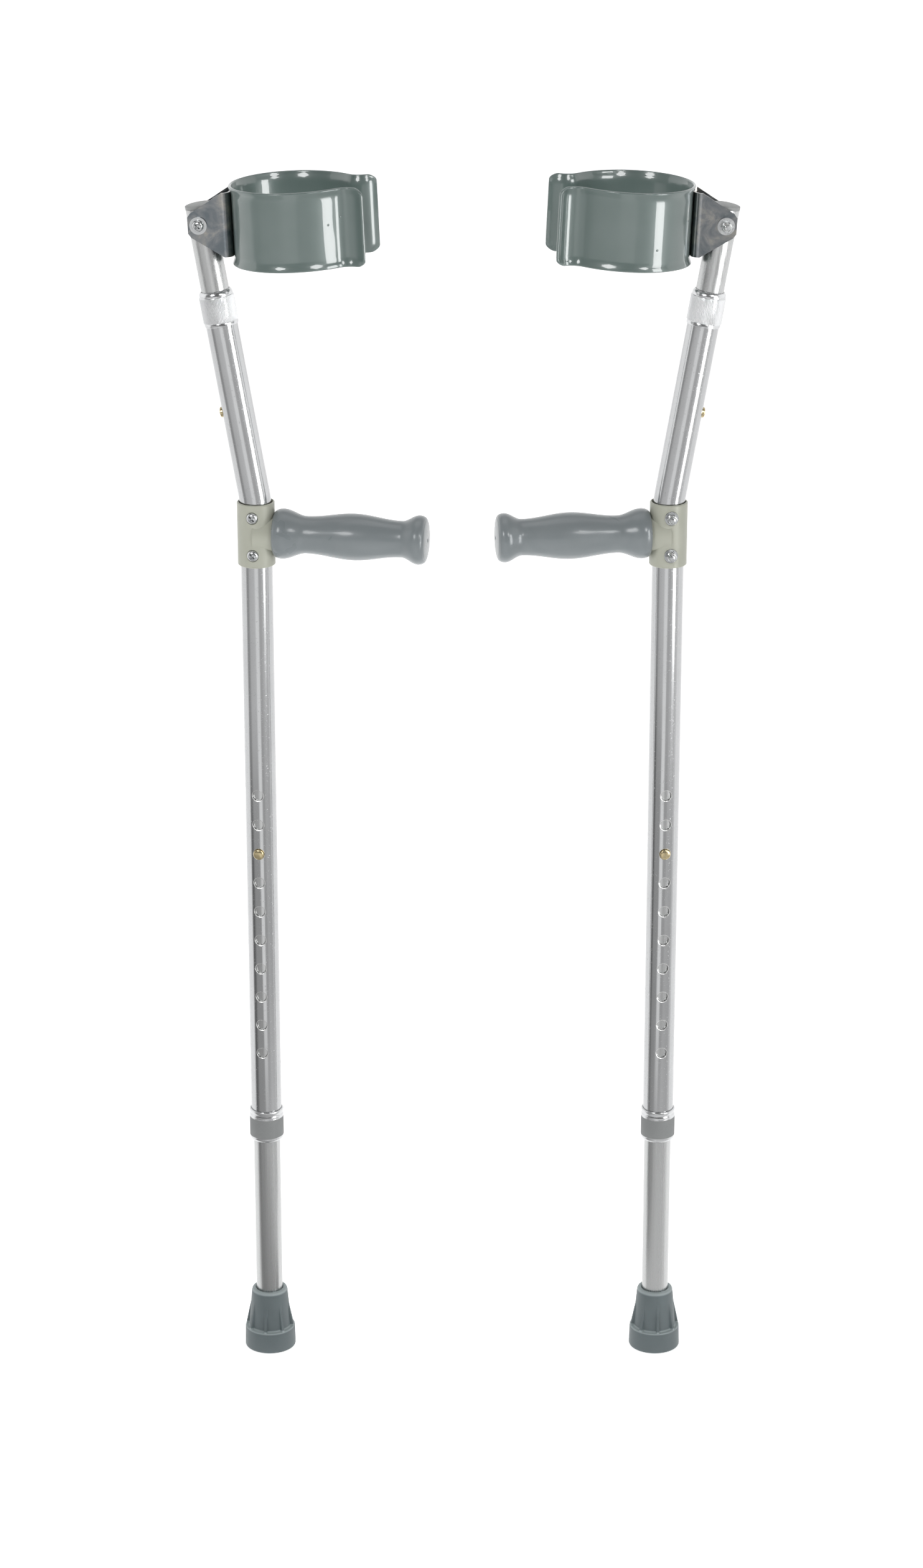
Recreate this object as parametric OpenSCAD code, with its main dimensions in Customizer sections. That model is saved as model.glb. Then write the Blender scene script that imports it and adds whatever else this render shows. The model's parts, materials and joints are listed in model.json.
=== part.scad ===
// A pair of forearm crutches: telescoping aluminium tubes with snap buttons and lock collars,
// a hand grip on a screwed sleeve, a rubber tip and a pivoting, vinyl-dipped forearm cuff.
//
// The origin is on the floor between the two tips, with Z up. The grips point at each other along X.
// Each crutch is drawn in its own frame: the main tube runs up Z, the grip points to +X and the
// screw heads face -Y. left() and right() stand it in its place.

/* [Stance] */
// Distance from the middle to the left crutch's main tube
left_reach = 164.3; // [155:0.1:260]
// Distance from the middle to the right crutch's main tube
right_reach = 165.6; // [155:0.1:260]
// Turn of the left crutch, grip towards the viewer
left_turn = 9.5; // [0:0.5:15]
// Turn of the right crutch, grip towards the viewer
right_turn = 6.7; // [0:0.1:15]
// How far behind the origin both tips stand
stance_y = 5; // [-20:1:20]

/* [Main tube] */
// Outer diameter
main_d = 25.4; // [25:0.1:27]
// Wall thickness
main_wall = 1.2; // [1:0.05:1.4]
// Height of the lower mouth
main_foot_z = 204; // [190:1:230]
// Height at which the bend starts
bend_z = 744; // [742:1:770]
// Centre-line radius of the bend
bend_r = 80; // [60:5:160]
// Lean of the forearm section away from the grip
lean = 9.8; // [5:0.1:15]
// Straight length from the bend to the upper mouth
upper_len = 157; // [150:1:170]

/* [Adjustment holes] */
// Distance from one hole to the next
hole_pitch = 25.4; // [24:0.1:26]
// Hole diameter, for the snap buttons
hole_d = 9; // [8.7:0.1:10]
// Number of height holes in the main tube
hole_count = 10; // [6:1:11]
// Height of the highest hole
top_hole_z = 505; // [480:1:540]
// The hole that the leg buttons sit in, counted from the top
button_hole = 3; // [1:1:6]
// Number of holes for the forearm section
forearm_hole_count = 3; // [1:1:3]
// Distance from the bend to the lowest forearm hole
forearm_hole_from = 69; // [60:1:75]

/* [Inner tubes] */
// Outer diameter of the leg and forearm tubes
inner_d = 22.2; // [21.8:0.1:22.2]
// Wall thickness of both
inner_wall = 1.2; // [1:0.1:1.5]
// Leg tube left above its buttons
leg_head = 25; // [18:1:40]
// Forearm tube left below its button
forearm_tail = 28; // [25:1:40]
// Length of the forearm tube above its button
forearm_len = 164; // [160:1:200]

/* [Snap clips] */
// Diameter of a snap button
button_d = 8.5; // [7:0.1:8.6]
// How far a button stands out of the main tube
button_proud = 2.2; // [1.5:0.1:3]
// Width of the spring strip
strip_w = 6; // [5:0.5:7]
// Thickness of the spring strip
strip_t = 0.8; // [0.6:0.1:1]
// Length of the spring's arms below the button
arm_len = 12; // [10:1:14]

/* [Bracket] */
// Height of the grip's axis above the floor
handle_z = 725.3; // [700:0.1:727]
// Length of the sleeve on the main tube
sleeve_h = 52; // [46:1:56]
// Wall of the sleeve
sleeve_wall = 2.2; // [2:0.1:3]
// Distance between the two clamp screws
screw_spacing = 31; // [28:1:34]
// Diameter of the neck where it leaves the sleeve
neck_base_d = 34; // [30:1:38]
// Diameter of the neck at the grip
neck_d = 28; // [24:1:30]
// Outer diameter of the stub tube inside the grip
core_d = 19; // [17:0.5:20]
// Wall of the stub tube
core_wall = 1.8; // [1.5:0.1:2.5]

/* [Grip] */
// Distance from the main tube's axis to the grip's inner end
grip_from = 15.4; // [15:0.1:17]
// Overall length of the grip
grip_len = 124; // [110:1:140]
// Radius of the inner flange
inner_flange_r = 20.2; // [18:0.1:22]
// Radius of the waist beside the inner flange
inner_waist_r = 15; // [13:0.1:16]
// Radius of the belly
belly_r = 18.7; // [17:0.1:20]
// Radius of the waist beside the end flange
outer_waist_r = 14.6; // [13:0.1:16]
// Radius of the end flange
end_flange_r = 19.7; // [18:0.1:22]
// Vinyl left at the closed end
grip_end_wall = 6; // [4:0.5:10]
// Diameter of the vent in the end
vent_d = 2.6; // [1.5:0.1:4]

/* [Screws] */
// Thread diameter of the clamp and pivot screws
screw_d = 5; // [4:0.5:5]
// Pan head diameter
head_d = 9.4; // [8.5:0.1:9.6]
// Pan head height
head_h = 3; // [2.5:0.1:3.5]
// Nut size across its flats
nut_af = 8; // [7:0.5:8]
// Lock nut height
nut_h = 5; // [4:0.5:6]
// Thread that stands out of a nut
thread_proud = 1.5; // [0.5:0.5:3]
// Clamp washer diameter
washer_d = 11; // [10:0.5:11]
// Washer thickness
washer_t = 1; // [0.8:0.1:1.2]

/* [Lock collars] */
// Diameter of the lower, smooth collar
leg_collar_d = 28.4; // [27.5:0.1:30]
// Diameter of the upper, serrated collar
forearm_collar_d = 28; // [27.5:0.1:30]
// Length of a collar over the main tube
collar_grip = 18.2; // [16:0.1:20]
// Length of a collar beyond the mouth
collar_cap = 9.9; // [9:0.1:11]
// Number of serrations on the upper collar
serrations = 60; // [40:1:72]
// Depth of a serration
serration_depth = 0.3; // [0.2:0.05:0.4]
// Length of a bushing inside the main tube
bush_sleeve = 14; // [10:1:16]
// Length of a bushing's collet beyond the mouth
bush_collet = 6; // [4:0.5:7]

/* [Rubber tip] */
// Overall height
tip_h = 54; // [50:1:60]
// Diameter of the base
tip_base_d = 43; // [41:0.5:48]
// Height of the base band
tip_band_h = 18.5; // [15:0.5:22]
// Diameter of the top rim
tip_rim_d = 30.4; // [29:0.2:33]
// Number of ribs above the base
rib_count = 8; // [6:1:12]
// Width of a rib
rib_w = 2.6; // [2:0.1:3.5]
// Height at which the ribs run out
rib_top_z = 44; // [36:1:46]
// Rubber under the steel washer
tip_floor = 10; // [8:0.5:13]
// Thickness of the steel washer in the tip
tip_washer_t = 1.6; // [1:0.1:2]

/* [Cuff] */
// Height of the cuff
cuff_h = 62; // [56:1:66]
// Thickness of the dipped steel band
cuff_t = 2.5; // [2:0.1:3]
// Radius of the back half, to the middle of the band
cuff_back_r = 45; // [42:0.5:48]
// Radius of the flatter sides
cuff_side_r = 60; // [50:1:70]
// Radius of the outward curve of each flange
flange_r = 14; // [12:0.5:16]
// How far short of the cuff's widest line the back runs into the sides, in degrees
side_from = 10; // [5:1:15]
// Steepest angle at which the sides draw in
side_to = 45; // [38:1:48]
// Angle at which the flanges open out
flange_angle = 50; // [40:1:55]
// Straight lip at the end of each flange
lip_len = 5; // [3:0.5:7]
// How far the rims turn outwards
rim_flare = 2.6; // [1:0.1:3]
// Height over which a rim turns outwards
rim_h = 8; // [6:0.5:10]
// Radius of the flanges' corners
corner_r = 6; // [3:0.5:9]
// Tilt of the cuff from upright, open side up
cuff_tilt = 2.6; // [0:0.1:5]

/* [Clevis] */
// Distance from the pivot up to the end of the forearm tube
pivot_below_end = 12; // [11:0.5:13]
// Distance from the pivot to the back of the cuff
clevis_reach = 25.5; // [25:0.1:28]
// Height of the clevis where it meets the cuff
clevis_h = 50.5; // [46:0.5:51]
// Height of the ears' outer ends
ear_h = 17.6; // [16:0.2:20]
// Distance from the pivot to the ears' outer ends
ear_reach = 8.6; // [8:0.1:10]
// Sheet thickness
clevis_t = 1.6; // [1.4:0.1:2]
// Outer radius of the clevis bends
clevis_bend_r = 6; // [4:0.5:7]
// Nylon spacer thickness between an ear and the tube
spacer_t = 1; // [0.8:0.1:1.5]
// Pivot washer diameter
pivot_washer_d = 13.8; // [12:0.2:14]
// Rivet shank diameter
rivet_d = 4; // [3:0.5:5]
// Distance between the two rivets
rivet_spacing = 26; // [20:1:30]
// Rivet head diameter
rivet_head_d = 8; // [7:0.5:9]
// Rivet head height
rivet_head_h = 1.6; // [1:0.1:2]

/* [Hidden] */
$fn = 64;
// Clearance of a sliding or turning fit, on the radius
running = 0.05;
// Clearance of a screw or rivet in its hole, on the radius
slack = 0.2;
// The angle over which two arcs run into each other
function lap_angle(r) = lap / r * 180 / PI;
// How far a cut runs past the surface that it opens
through = 1;
// Lengths of one bent piece run this far into each other, each a hair thinner than the one before,
// so that they fuse into one solid
lap = 0.3;
// The smallest difference that keeps two faces apart
hair = 0.01;
main_r = main_d / 2;
main_bore_r = main_r - main_wall;
inner_r = inner_d / 2;
inner_bore_r = inner_r - inner_wall;
leg_bottom_z = tip_floor + tip_washer_t;
button_z = top_hole_z - (button_hole - 1) * hole_pitch;
forearm_bottom = forearm_hole_from - forearm_tail;
forearm_top = forearm_hole_from + forearm_len;
pivot_at = forearm_top - pivot_below_end;
// The strip's edges touch the tube, so its flat face stands a little in from the wall
strip_r = sqrt(pow(inner_bore_r, 2) - pow(strip_w / 2, 2)) - running;
shank_d = 3;
sleeve_bore_r = main_r + slack;
sleeve_r = sleeve_bore_r + sleeve_wall;
// Depth of the flats that the screw heads and washers sit on
spot_depth = 1;
spot_r = sleeve_r - spot_depth;
core_from = sleeve_bore_r + sleeve_wall / 2;
core_to = grip_from + grip_len - grip_end_wall;
screw_heights = [handle_z - screw_spacing / 2, handle_z + screw_spacing / 2];
ear_in = inner_r + spacer_t + running;
ear_out = ear_in + clevis_t;
cuff_centre = clevis_reach + cuff_back_r + cuff_t / 2;

// ---- Frames --------------------------------------------------------------------------------

module left() {
    translate([-left_reach, stance_y, 0]) rotate([0, 0, -left_turn]) children();
}

module right() {
    translate([right_reach, stance_y, 0]) rotate([0, 0, 180 + right_turn]) children();
}

// Up the forearm section, from the end of the bend
module on_forearm(along = 0) {
    translate([-bend_r * (1 - cos(lean)), 0, bend_z + bend_r * sin(lean)])
        rotate([0, -lean, 0])
            translate([0, 0, along]) children();
}

// At the cuff's pivot, with X towards the cuff and Z up the clevis
module on_pivot() {
    on_forearm(pivot_at) rotate([0, lean - cuff_tilt, 0]) children();
}

// At the middle of the cuff
module on_cuff() {
    on_pivot() translate([cuff_centre, 0, 0]) children();
}

// ---- Shared shapes -------------------------------------------------------------------------

module tube(outer_r, bore_r, length) {
    difference() {
        cylinder(r = outer_r, h = length);
        translate([0, 0, -through]) cylinder(r = bore_r, h = length + 2 * through);
    }
}

// A hole along Y right through a tube, or from its axis out to one side along -X
module cross_hole(d, reach) {
    rotate([90, 0, 0]) cylinder(d = d, h = 2 * reach, center = true);
}

module back_hole(d, reach) {
    rotate([0, -90, 0]) cylinder(d = d, h = reach);
}

// A disc or ring along +Y, starting at y = from
module y_ring(d, bore, from, h) {
    translate([0, from, 0]) rotate([-90, 0, 0])
        difference() {
            cylinder(d = d, h = h);
            if (bore > 0)
                translate([0, 0, -through]) cylinder(d = bore, h = h + 2 * through);
        }
}

// A pan-head screw along +Y whose head sits on y = seat and whose thread ends at y = end
module pan_screw(seat, end) {
    rotate([-90, 0, 0]) translate([0, 0, seat]) {
        cylinder(d = screw_d, h = end - seat);
        rotate_extrude()
            intersection() {
                translate([0, -head_h]) square([head_d / 2, head_h]);
                scale([1, head_h / (head_d / 2) * 1.25]) circle(d = head_d);
            }
    }
}

// A lock nut along +Y from y = from: a hexagon with a round collar that holds its nylon ring
module lock_nut(from) {
    collar_h = nut_h * 0.3;
    rotate([-90, 0, 0]) translate([0, 0, from])
        difference() {
            union() {
                cylinder(d = nut_af / cos(30), h = nut_h - collar_h, $fn = 6);
                translate([0, 0, nut_h - collar_h - 0.2])
                    cylinder(d1 = nut_af, d2 = nut_af - 1.2, h = collar_h + 0.2);
            }
            translate([0, 0, -through]) cylinder(d = screw_d, h = nut_h + 2 * through);
        }
}

// The round, open-ended clip that carries the snap buttons: two arms joined by a half ring.
// Its buttons sit on X at z = 0, and the half ring hangs below.
module clip_spring(holes) {
    arm_above = button_d / 2 + 3;
    drop = button_d / 2 + arm_len;
    difference() {
        translate([0, strip_w / 2, 0]) rotate([90, 0, 0])
            linear_extrude(strip_w) {
                for (side = [-1, 1])
                    translate([side * (strip_r - strip_t / 2) - strip_t / 2, -drop])
                        square([strip_t, drop + arm_above]);
                translate([0, -drop])
                    difference() {
                        circle(r = strip_r);
                        circle(r = strip_r - strip_t);
                        translate([-strip_r - through, 0])
                            square([2 * (strip_r + through), strip_r + through]);
                    }
            }
        for (side = holes)
            rotate([0, side * 90, 0]) cylinder(d = shank_d + 2 * running, h = inner_r);
    }
}

// One snap button along +X: a domed head outside the strip, a shank through it and a riveted end,
// with a hair of play on the strip
module snap_button() {
    dome_h = 1.3;
    tip_x = main_r + button_proud;
    head_from = strip_r + hair;
    rivet_h = 0.6;
    rivet_r = shank_d / 2 + 0.8;
    rivet_from = strip_r - strip_t - hair - rivet_h;
    rotate([0, 90, 0])
        rotate_extrude() {
            translate([0, head_from]) square([button_d / 2, tip_x - dome_h - head_from]);
            translate([0, tip_x - dome_h])
                intersection() {
                    square([button_d / 2, dome_h]);
                    scale([1, dome_h / (button_d / 2)]) circle(d = button_d);
                }
            translate([0, rivet_from]) square([shank_d / 2, head_from - rivet_from]);
            translate([0, rivet_from]) square([rivet_r, rivet_h]);
        }
}

// The split nylon bushing in a mouth of the main tube. z = 0 is the mouth, +Z leads out of it.
module bushing() {
    bore_r = inner_r + running;
    flange_r0 = main_r - 0.2;
    nose_r = inner_r + 0.7;
    flat_h = bush_collet / 2;
    slit_w = 1.2;
    difference() {
        rotate_extrude()
            polygon([
                [bore_r, -bush_sleeve], [main_bore_r, -bush_sleeve], [main_bore_r, 0],
                [flange_r0, 0], [flange_r0, flat_h], [nose_r, bush_collet], [bore_r, bush_collet],
            ]);
        for (turn = [0, 90])
            rotate([0, 0, turn])
                translate([-main_r, -slit_w / 2, -bush_sleeve / 2])
                    cube([main_d, slit_w, bush_sleeve / 2 + bush_collet + through]);
    }
}

// The bore of a lock collar, in the same frame as the bushing
function collar_bore() = [
    [main_r + running, -collar_grip],
    [main_r + running, bush_collet / 2 + 0.5],
    [inner_r + 1, bush_collet + 0.8],
    [inner_r + 0.3, bush_collet + 1.2],
    [inner_r + 0.3, collar_cap],
];

// ---- Leg -----------------------------------------------------------------------------------

// Anodised tube: straight leg, one bend under the grip's sleeve, straight forearm section
module main_tube() {
    color("silver") difference() {
        union() {
            translate([0, 0, main_foot_z]) tube(main_r, main_bore_r, bend_z - main_foot_z);
            translate([-bend_r, 0, bend_z]) rotate([90, 0, 0]) rotate([0, 0, -lap_angle(bend_r)])
                rotate_extrude(angle = lean + 2 * lap_angle(bend_r))
                    translate([bend_r, 0]) difference() {
                        circle(r = main_r - hair);
                        circle(r = main_bore_r + hair);
                    }
            on_forearm() tube(main_r, main_bore_r, upper_len);
        }
        for (i = [0 : hole_count - 1])
            translate([0, 0, top_hole_z - i * hole_pitch]) cross_hole(hole_d, main_d);
        for (z = screw_heights)
            translate([0, 0, z]) cross_hole(screw_d + 2 * slack, main_d);
        for (i = [0 : forearm_hole_count - 1])
            on_forearm(forearm_hole_from + i * hole_pitch) back_hole(hole_d, main_d);
    }
}

module leg_tube() {
    color("lightgray") difference() {
        translate([0, 0, leg_bottom_z])
            tube(inner_r, inner_bore_r, button_z + leg_head - leg_bottom_z);
        translate([0, 0, button_z]) cross_hole(hole_d, main_d);
    }
}

module leg_button_front() {
    color("darkkhaki") translate([0, 0, button_z]) rotate([0, 0, -90]) snap_button();
}

module leg_button_rear() {
    color("darkkhaki") translate([0, 0, button_z]) rotate([0, 0, 90]) snap_button();
}

module leg_clip_spring() {
    color("dimgray") translate([0, 0, button_z]) rotate([0, 0, 90]) clip_spring([-1, 1]);
}

module leg_bushing() {
    color("whitesmoke") translate([0, 0, main_foot_z]) rotate([180, 0, 0]) bushing();
}

// Smooth collar: a rounded lip and a groove above a plain band that tapers in at its lower end
module leg_lock_collar() {
    r = leg_collar_d / 2;
    lip_h = 4.4;
    groove = 0.5;
    taper_h = 2.8;
    color("silver") translate([0, 0, main_foot_z]) rotate([180, 0, 0])
        rotate_extrude()
            polygon(concat(collar_bore(), [
                [r - 1.8, collar_cap],
                [r, collar_cap - taper_h],
                [r, -collar_grip + lip_h + groove],
                [r - groove, -collar_grip + lip_h],
                [r, -collar_grip + lip_h - groove],
                [r, -collar_grip + 1],
                [r - 0.8, -collar_grip],
            ]));
}

// Moulded rubber: base band, fluted cone with ribs, rounded rim and a ringed tread
module rubber_tip() {
    base_r = tip_base_d / 2;
    rim_r = tip_rim_d / 2;
    band_step = 3.6;
    cone_r = base_r - band_step;
    shoulder = 3;
    edge = 1;
    ring_w = 2.5;
    ring_depth = 1.5;
    color("slategray") difference() {
        union() {
            rotate_extrude()
                polygon(concat(
                    [[0, 0], [base_r - edge, 0], [base_r, edge], [base_r - 0.4, tip_band_h]],
                    [[cone_r, tip_band_h], [rim_r, tip_h - shoulder]],
                    [for (a = [15 : 15 : 90])
                        [rim_r - shoulder * (1 - cos(a)), tip_h - shoulder * (1 - sin(a))]],
                    [[0, tip_h]]
                ));
            for (i = [0 : rib_count - 1])
                rotate([0, 0, i * 360 / rib_count + 90])
                    translate([0, rib_w / 2, 0]) rotate([90, 0, 0])
                        linear_extrude(rib_w)
                            polygon([
                                [inner_r + 1, tip_band_h - 1],
                                [base_r - 0.8, tip_band_h - 1],
                                [base_r - 0.8, tip_band_h],
                                [rim_r + 0.3, rib_top_z],
                                [inner_r + 1, rib_top_z],
                            ]);
        }
        translate([0, 0, tip_floor]) cylinder(r = inner_r, h = tip_h);
        for (r = [base_r * 0.3, base_r * 0.62])
            translate([0, 0, -through]) tube(r + ring_w, r, ring_depth + through);
    }
}

module tip_washer() {
    bore_r = 3;
    color("gray") translate([0, 0, tip_floor])
        tube(inner_r - 2 * running, bore_r, tip_washer_t);
}

// ---- Handle --------------------------------------------------------------------------------

// Painted steel sleeve around the main tube, relieved at its top for the bend, with a flared neck
module handle_bracket() {
    relief_h = handle_z + sleeve_h / 2 - bend_z;
    relief = 0.9;
    rim = 0.6;
    half = sleeve_h / 2;
    color("#a7a99e") difference() {
        union() {
            translate([0, 0, handle_z])
                rotate_extrude()
                    polygon([
                        [0, -half], [sleeve_r - rim, -half], [sleeve_r, -half + rim],
                        [sleeve_r, half - rim], [sleeve_r - rim, half], [0, half],
                    ]);
            translate([0, 0, handle_z]) rotate([0, 90, 0])
                cylinder(d1 = neck_base_d, d2 = neck_d, h = grip_from);
        }
        translate([0, 0, handle_z - half - through])
            cylinder(r = sleeve_bore_r, h = sleeve_h + 2 * through);
        if (relief_h > 0)
            translate([0, 0, bend_z])
                cylinder(
                    r1 = sleeve_bore_r,
                    r2 = sleeve_bore_r + relief * (relief_h + through) / relief_h,
                    h = relief_h + through
                );
        translate([core_from, 0, handle_z]) rotate([0, 90, 0])
            cylinder(d = core_d, h = grip_from);
        for (z = screw_heights)
            translate([0, 0, z]) {
                cross_hole(screw_d + 2 * slack, sleeve_r + through);
                y_ring(head_d + 0.6, 0, -sleeve_r - through, through + spot_depth);
                y_ring(washer_d + 0.6, 0, spot_r, through + spot_depth);
            }
    }
}

// Steel stub tube, welded into the neck
module handle_core() {
    color("gray") translate([core_from, 0, handle_z]) rotate([0, 90, 0])
        tube(core_d / 2, core_d / 2 - core_wall, core_to - core_from);
}

// Radius between two stations, eased at both ends as a moulded grip flows
function eased(a, b, steps) = [
    for (i = [0 : steps - 1])
        let (t = i / steps, s = (1 - cos(180 * t)) / 2)
            [a[0] + (b[0] - a[0]) * t, a[1] + (b[1] - a[1]) * s]
];

// Moulded vinyl grip: rounded inner flange, waist, belly, waist, end flange and domed end
module hand_grip() {
    steps = 8;
    round_in = 6.6;
    flange_edge = 3.4;
    face_r = inner_flange_r - flange_edge;
    dome = 1.4;
    flange_back = 7;
    first = [grip_from + round_in, inner_flange_r];
    waist = [grip_from + grip_len * 0.21, inner_waist_r];
    belly = [grip_from + grip_len * 0.52, belly_r];
    waist2 = [grip_from + grip_len * 0.83, outer_waist_r];
    last = [grip_from + grip_len - flange_back, end_flange_r];
    end_r = end_flange_r - flange_edge;
    side = concat(
        [for (a = [0 : 15 : 75])
            [grip_from + round_in * (1 - cos(a)), face_r + (inner_flange_r - face_r) * sin(a)]],
        eased(first, waist, steps),
        eased(waist, belly, steps),
        eased(belly, waist2, steps),
        eased(waist2, last, steps),
        [for (a = [90 : -15 : 15])
            [last[0] + (flange_back - dome) * cos(a), end_r + (end_flange_r - end_r) * sin(a)]],
        [for (a = [0 : 15 : 75])
            [grip_from + grip_len - dome * (1 - sin(a)), end_r * cos(a)]]
    );
    color("#8a9194") translate([0, 0, handle_z])
        difference() {
            rotate([0, 90, 0]) rotate_extrude()
                polygon(concat(
                    [[0, grip_from]],
                    [for (p = side) [p[1], p[0]]],
                    [[0, grip_from + grip_len]]
                ));
            translate([grip_from - through, 0, 0]) rotate([0, 90, 0])
                cylinder(d = core_d, h = core_to - grip_from + through);
            translate([core_to - through, 0, 0]) rotate([0, 90, 0])
                cylinder(d = vent_d, h = grip_end_wall + 2 * through);
        }
}

module bracket_screws() {
    color("lightgray") for (z = screw_heights)
        translate([0, 0, z])
            pan_screw(-spot_r, spot_r + washer_t + nut_h + thread_proud);
}

module bracket_washers() {
    color("silver") for (z = screw_heights)
        translate([0, 0, z]) y_ring(washer_d, screw_d + 2 * running, spot_r, washer_t);
}

module bracket_nuts() {
    color("lightgray") for (z = screw_heights)
        translate([0, 0, z]) lock_nut(spot_r + washer_t);
}

// ---- Forearm section -----------------------------------------------------------------------

module forearm_tube() {
    color("lightgray") on_forearm() difference() {
        translate([0, 0, forearm_bottom])
            tube(inner_r, inner_bore_r, forearm_top - forearm_bottom);
        translate([0, 0, forearm_hole_from]) back_hole(hole_d, main_d);
        translate([0, 0, pivot_at]) cross_hole(screw_d + 2 * running, main_d);
    }
}

module forearm_button() {
    color("darkkhaki") on_forearm(forearm_hole_from) rotate([0, 0, 180]) snap_button();
}

// Pushed in from the tube's lower end, so its half ring is at the top
module forearm_clip_spring() {
    color("dimgray") on_forearm(forearm_hole_from) rotate([180, 0, 0]) clip_spring([-1]);
}

module forearm_bushing() {
    color("whitesmoke") on_forearm(upper_len) bushing();
}

// Serrated collar: a plain ferrule ring, a band of fine serrations and a tapered nose
module forearm_lock_collar() {
    r = forearm_collar_d / 2;
    ferrule_r = main_r + 0.8;
    ferrule_h = 3;
    nose_h = 4.6;
    band_h = collar_grip + collar_cap - ferrule_h - nose_h;
    color("silver") on_forearm(upper_len)
        difference() {
            union() {
                translate([0, 0, -collar_grip]) cylinder(r = ferrule_r, h = ferrule_h);
                translate([0, 0, -collar_grip + ferrule_h])
                    linear_extrude(band_h)
                        polygon([
                            for (i = [0 : 2 * serrations - 1])
                                let (a = i * 180 / serrations, d = i % 2 * serration_depth)
                                    [(r - d) * cos(a), (r - d) * sin(a)]
                        ]);
                translate([0, 0, collar_cap - nose_h])
                    cylinder(r1 = r - 2 * serration_depth, r2 = r - 2.2, h = nose_h);
            }
            rotate_extrude()
                polygon(concat(
                    [[0, -collar_grip - through]],
                    [[main_r + running, -collar_grip - through]],
                    collar_bore(),
                    [[inner_r + 0.3, collar_cap + through], [0, collar_cap + through]]
                ));
        }
}

// Plastic plug with a low dome, level with the tube's outside
module forearm_end_cap() {
    stem_h = 7;
    flange_h = 2.4;
    dome_h = 1.2;
    color("gray") on_forearm(forearm_top)
        rotate_extrude()
            polygon(concat(
                [[0, -stem_h], [inner_bore_r - 0.8, -stem_h], [inner_bore_r, -stem_h + 1]],
                [[inner_bore_r, 0], [inner_r, 0], [inner_r, flange_h]],
                [for (a = [15 : 15 : 90]) [inner_r * cos(a), flange_h + dome_h * sin(a)]]
            ));
}

// ---- Cuff ----------------------------------------------------------------------------------

// The band's cross-section, with x outwards from the middle of the wall. Both rims turn outwards
// on a curve, and the section's four edges are softened.
function flare_at(z) = rim_flare * pow(max(0, abs(z) - (cuff_h / 2 - rim_h)) / rim_h, 2);

function band_face(side, thinner) = [
    let (steps = 5, top = cuff_h / 2 - thinner, soft = 0.5)
        let (bend = [for (i = [0 : steps]) top - rim_h * (1 - i / steps)])
            for (z = concat([for (i = [steps : -1 : 0]) -bend[i]], bend))
                [flare_at(z) + side * (cuff_t / 2 - thinner - (abs(z) == top ? soft : 0)), z]
];

module band_section(thinner = 0) {
    inner = band_face(-1, thinner);
    polygon(concat(band_face(1, thinner), [for (i = [len(inner) - 1 : -1 : 0]) inner[i]]));
}

// One arm of the band from the back half to its lip, as tangent arcs: the flatter side and the
// outward flange, then the straight lip.
module band_arm() {
    side_centre = -(cuff_side_r - cuff_back_r);
    side_x = side_centre * sin(side_from);
    side_y = side_centre * cos(side_from);
    turn_x = side_x + cuff_side_r * sin(side_to);
    turn_y = side_y + cuff_side_r * cos(side_to);
    flange_x = turn_x + flange_r * sin(side_to);
    flange_y = turn_y + flange_r * cos(side_to);
    end_x = flange_x + flange_r * sin(flange_angle);
    end_y = flange_y - flange_r * cos(flange_angle);
    translate([side_x, side_y, 0]) rotate([0, 0, 90 - side_to])
        rotate_extrude(angle = side_to - side_from + lap_angle(cuff_side_r))
            translate([cuff_side_r, 0]) band_section(hair);
    translate([flange_x, flange_y, 0]) rotate([0, 0, -90 - side_to - lap_angle(flange_r)])
        rotate_extrude(angle = side_to + flange_angle + lap_angle(flange_r))
            translate([flange_r, 0]) mirror([1, 0]) band_section(2 * hair);
    translate([end_x, end_y, 0]) rotate([0, 0, flange_angle]) translate([-lap, 0, 0])
        rotate([90, 0, 90]) linear_extrude(lip_len + lap) band_section(3 * hair);
}

// Steel band dipped in vinyl, open towards the grip
module cuff() {
    reach = cuff_back_r + cuff_t;
    front = 200;
    tip_x = -(cuff_side_r - cuff_back_r) * sin(side_from)
        + cuff_side_r * sin(side_to) + flange_r * (sin(side_to) + sin(flange_angle))
        + lip_len * cos(flange_angle) - cuff_t / 2 * sin(flange_angle);
    color("#66757a") on_cuff() difference() {
        intersection() {
            union() {
                rotate([0, 0, 90 - side_from])
                    rotate_extrude(angle = 180 + 2 * side_from)
                        translate([cuff_back_r, 0]) band_section();
                band_arm();
                mirror([0, 1, 0]) band_arm();
            }
            translate([0, front, 0]) rotate([90, 0, 0])
                linear_extrude(2 * front) {
                    translate([-2 * reach, -cuff_h / 2 - through])
                        square([2 * reach + tip_x - corner_r, cuff_h + 2 * through]);
                    translate([-2 * reach, -cuff_h / 2 + corner_r])
                        square([2 * reach + tip_x, cuff_h - 2 * corner_r]);
                    for (side = [-1, 1])
                        translate([tip_x - corner_r, side * (cuff_h / 2 - corner_r)])
                            circle(r = corner_r);
                }
        }
        for (z = [-1, 1])
            translate([-cuff_back_r, 0, z * rivet_spacing / 2])
                rotate([0, 90, 0]) cylinder(d = rivet_d, h = 4 * cuff_t, center = true);
    }
}

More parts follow.
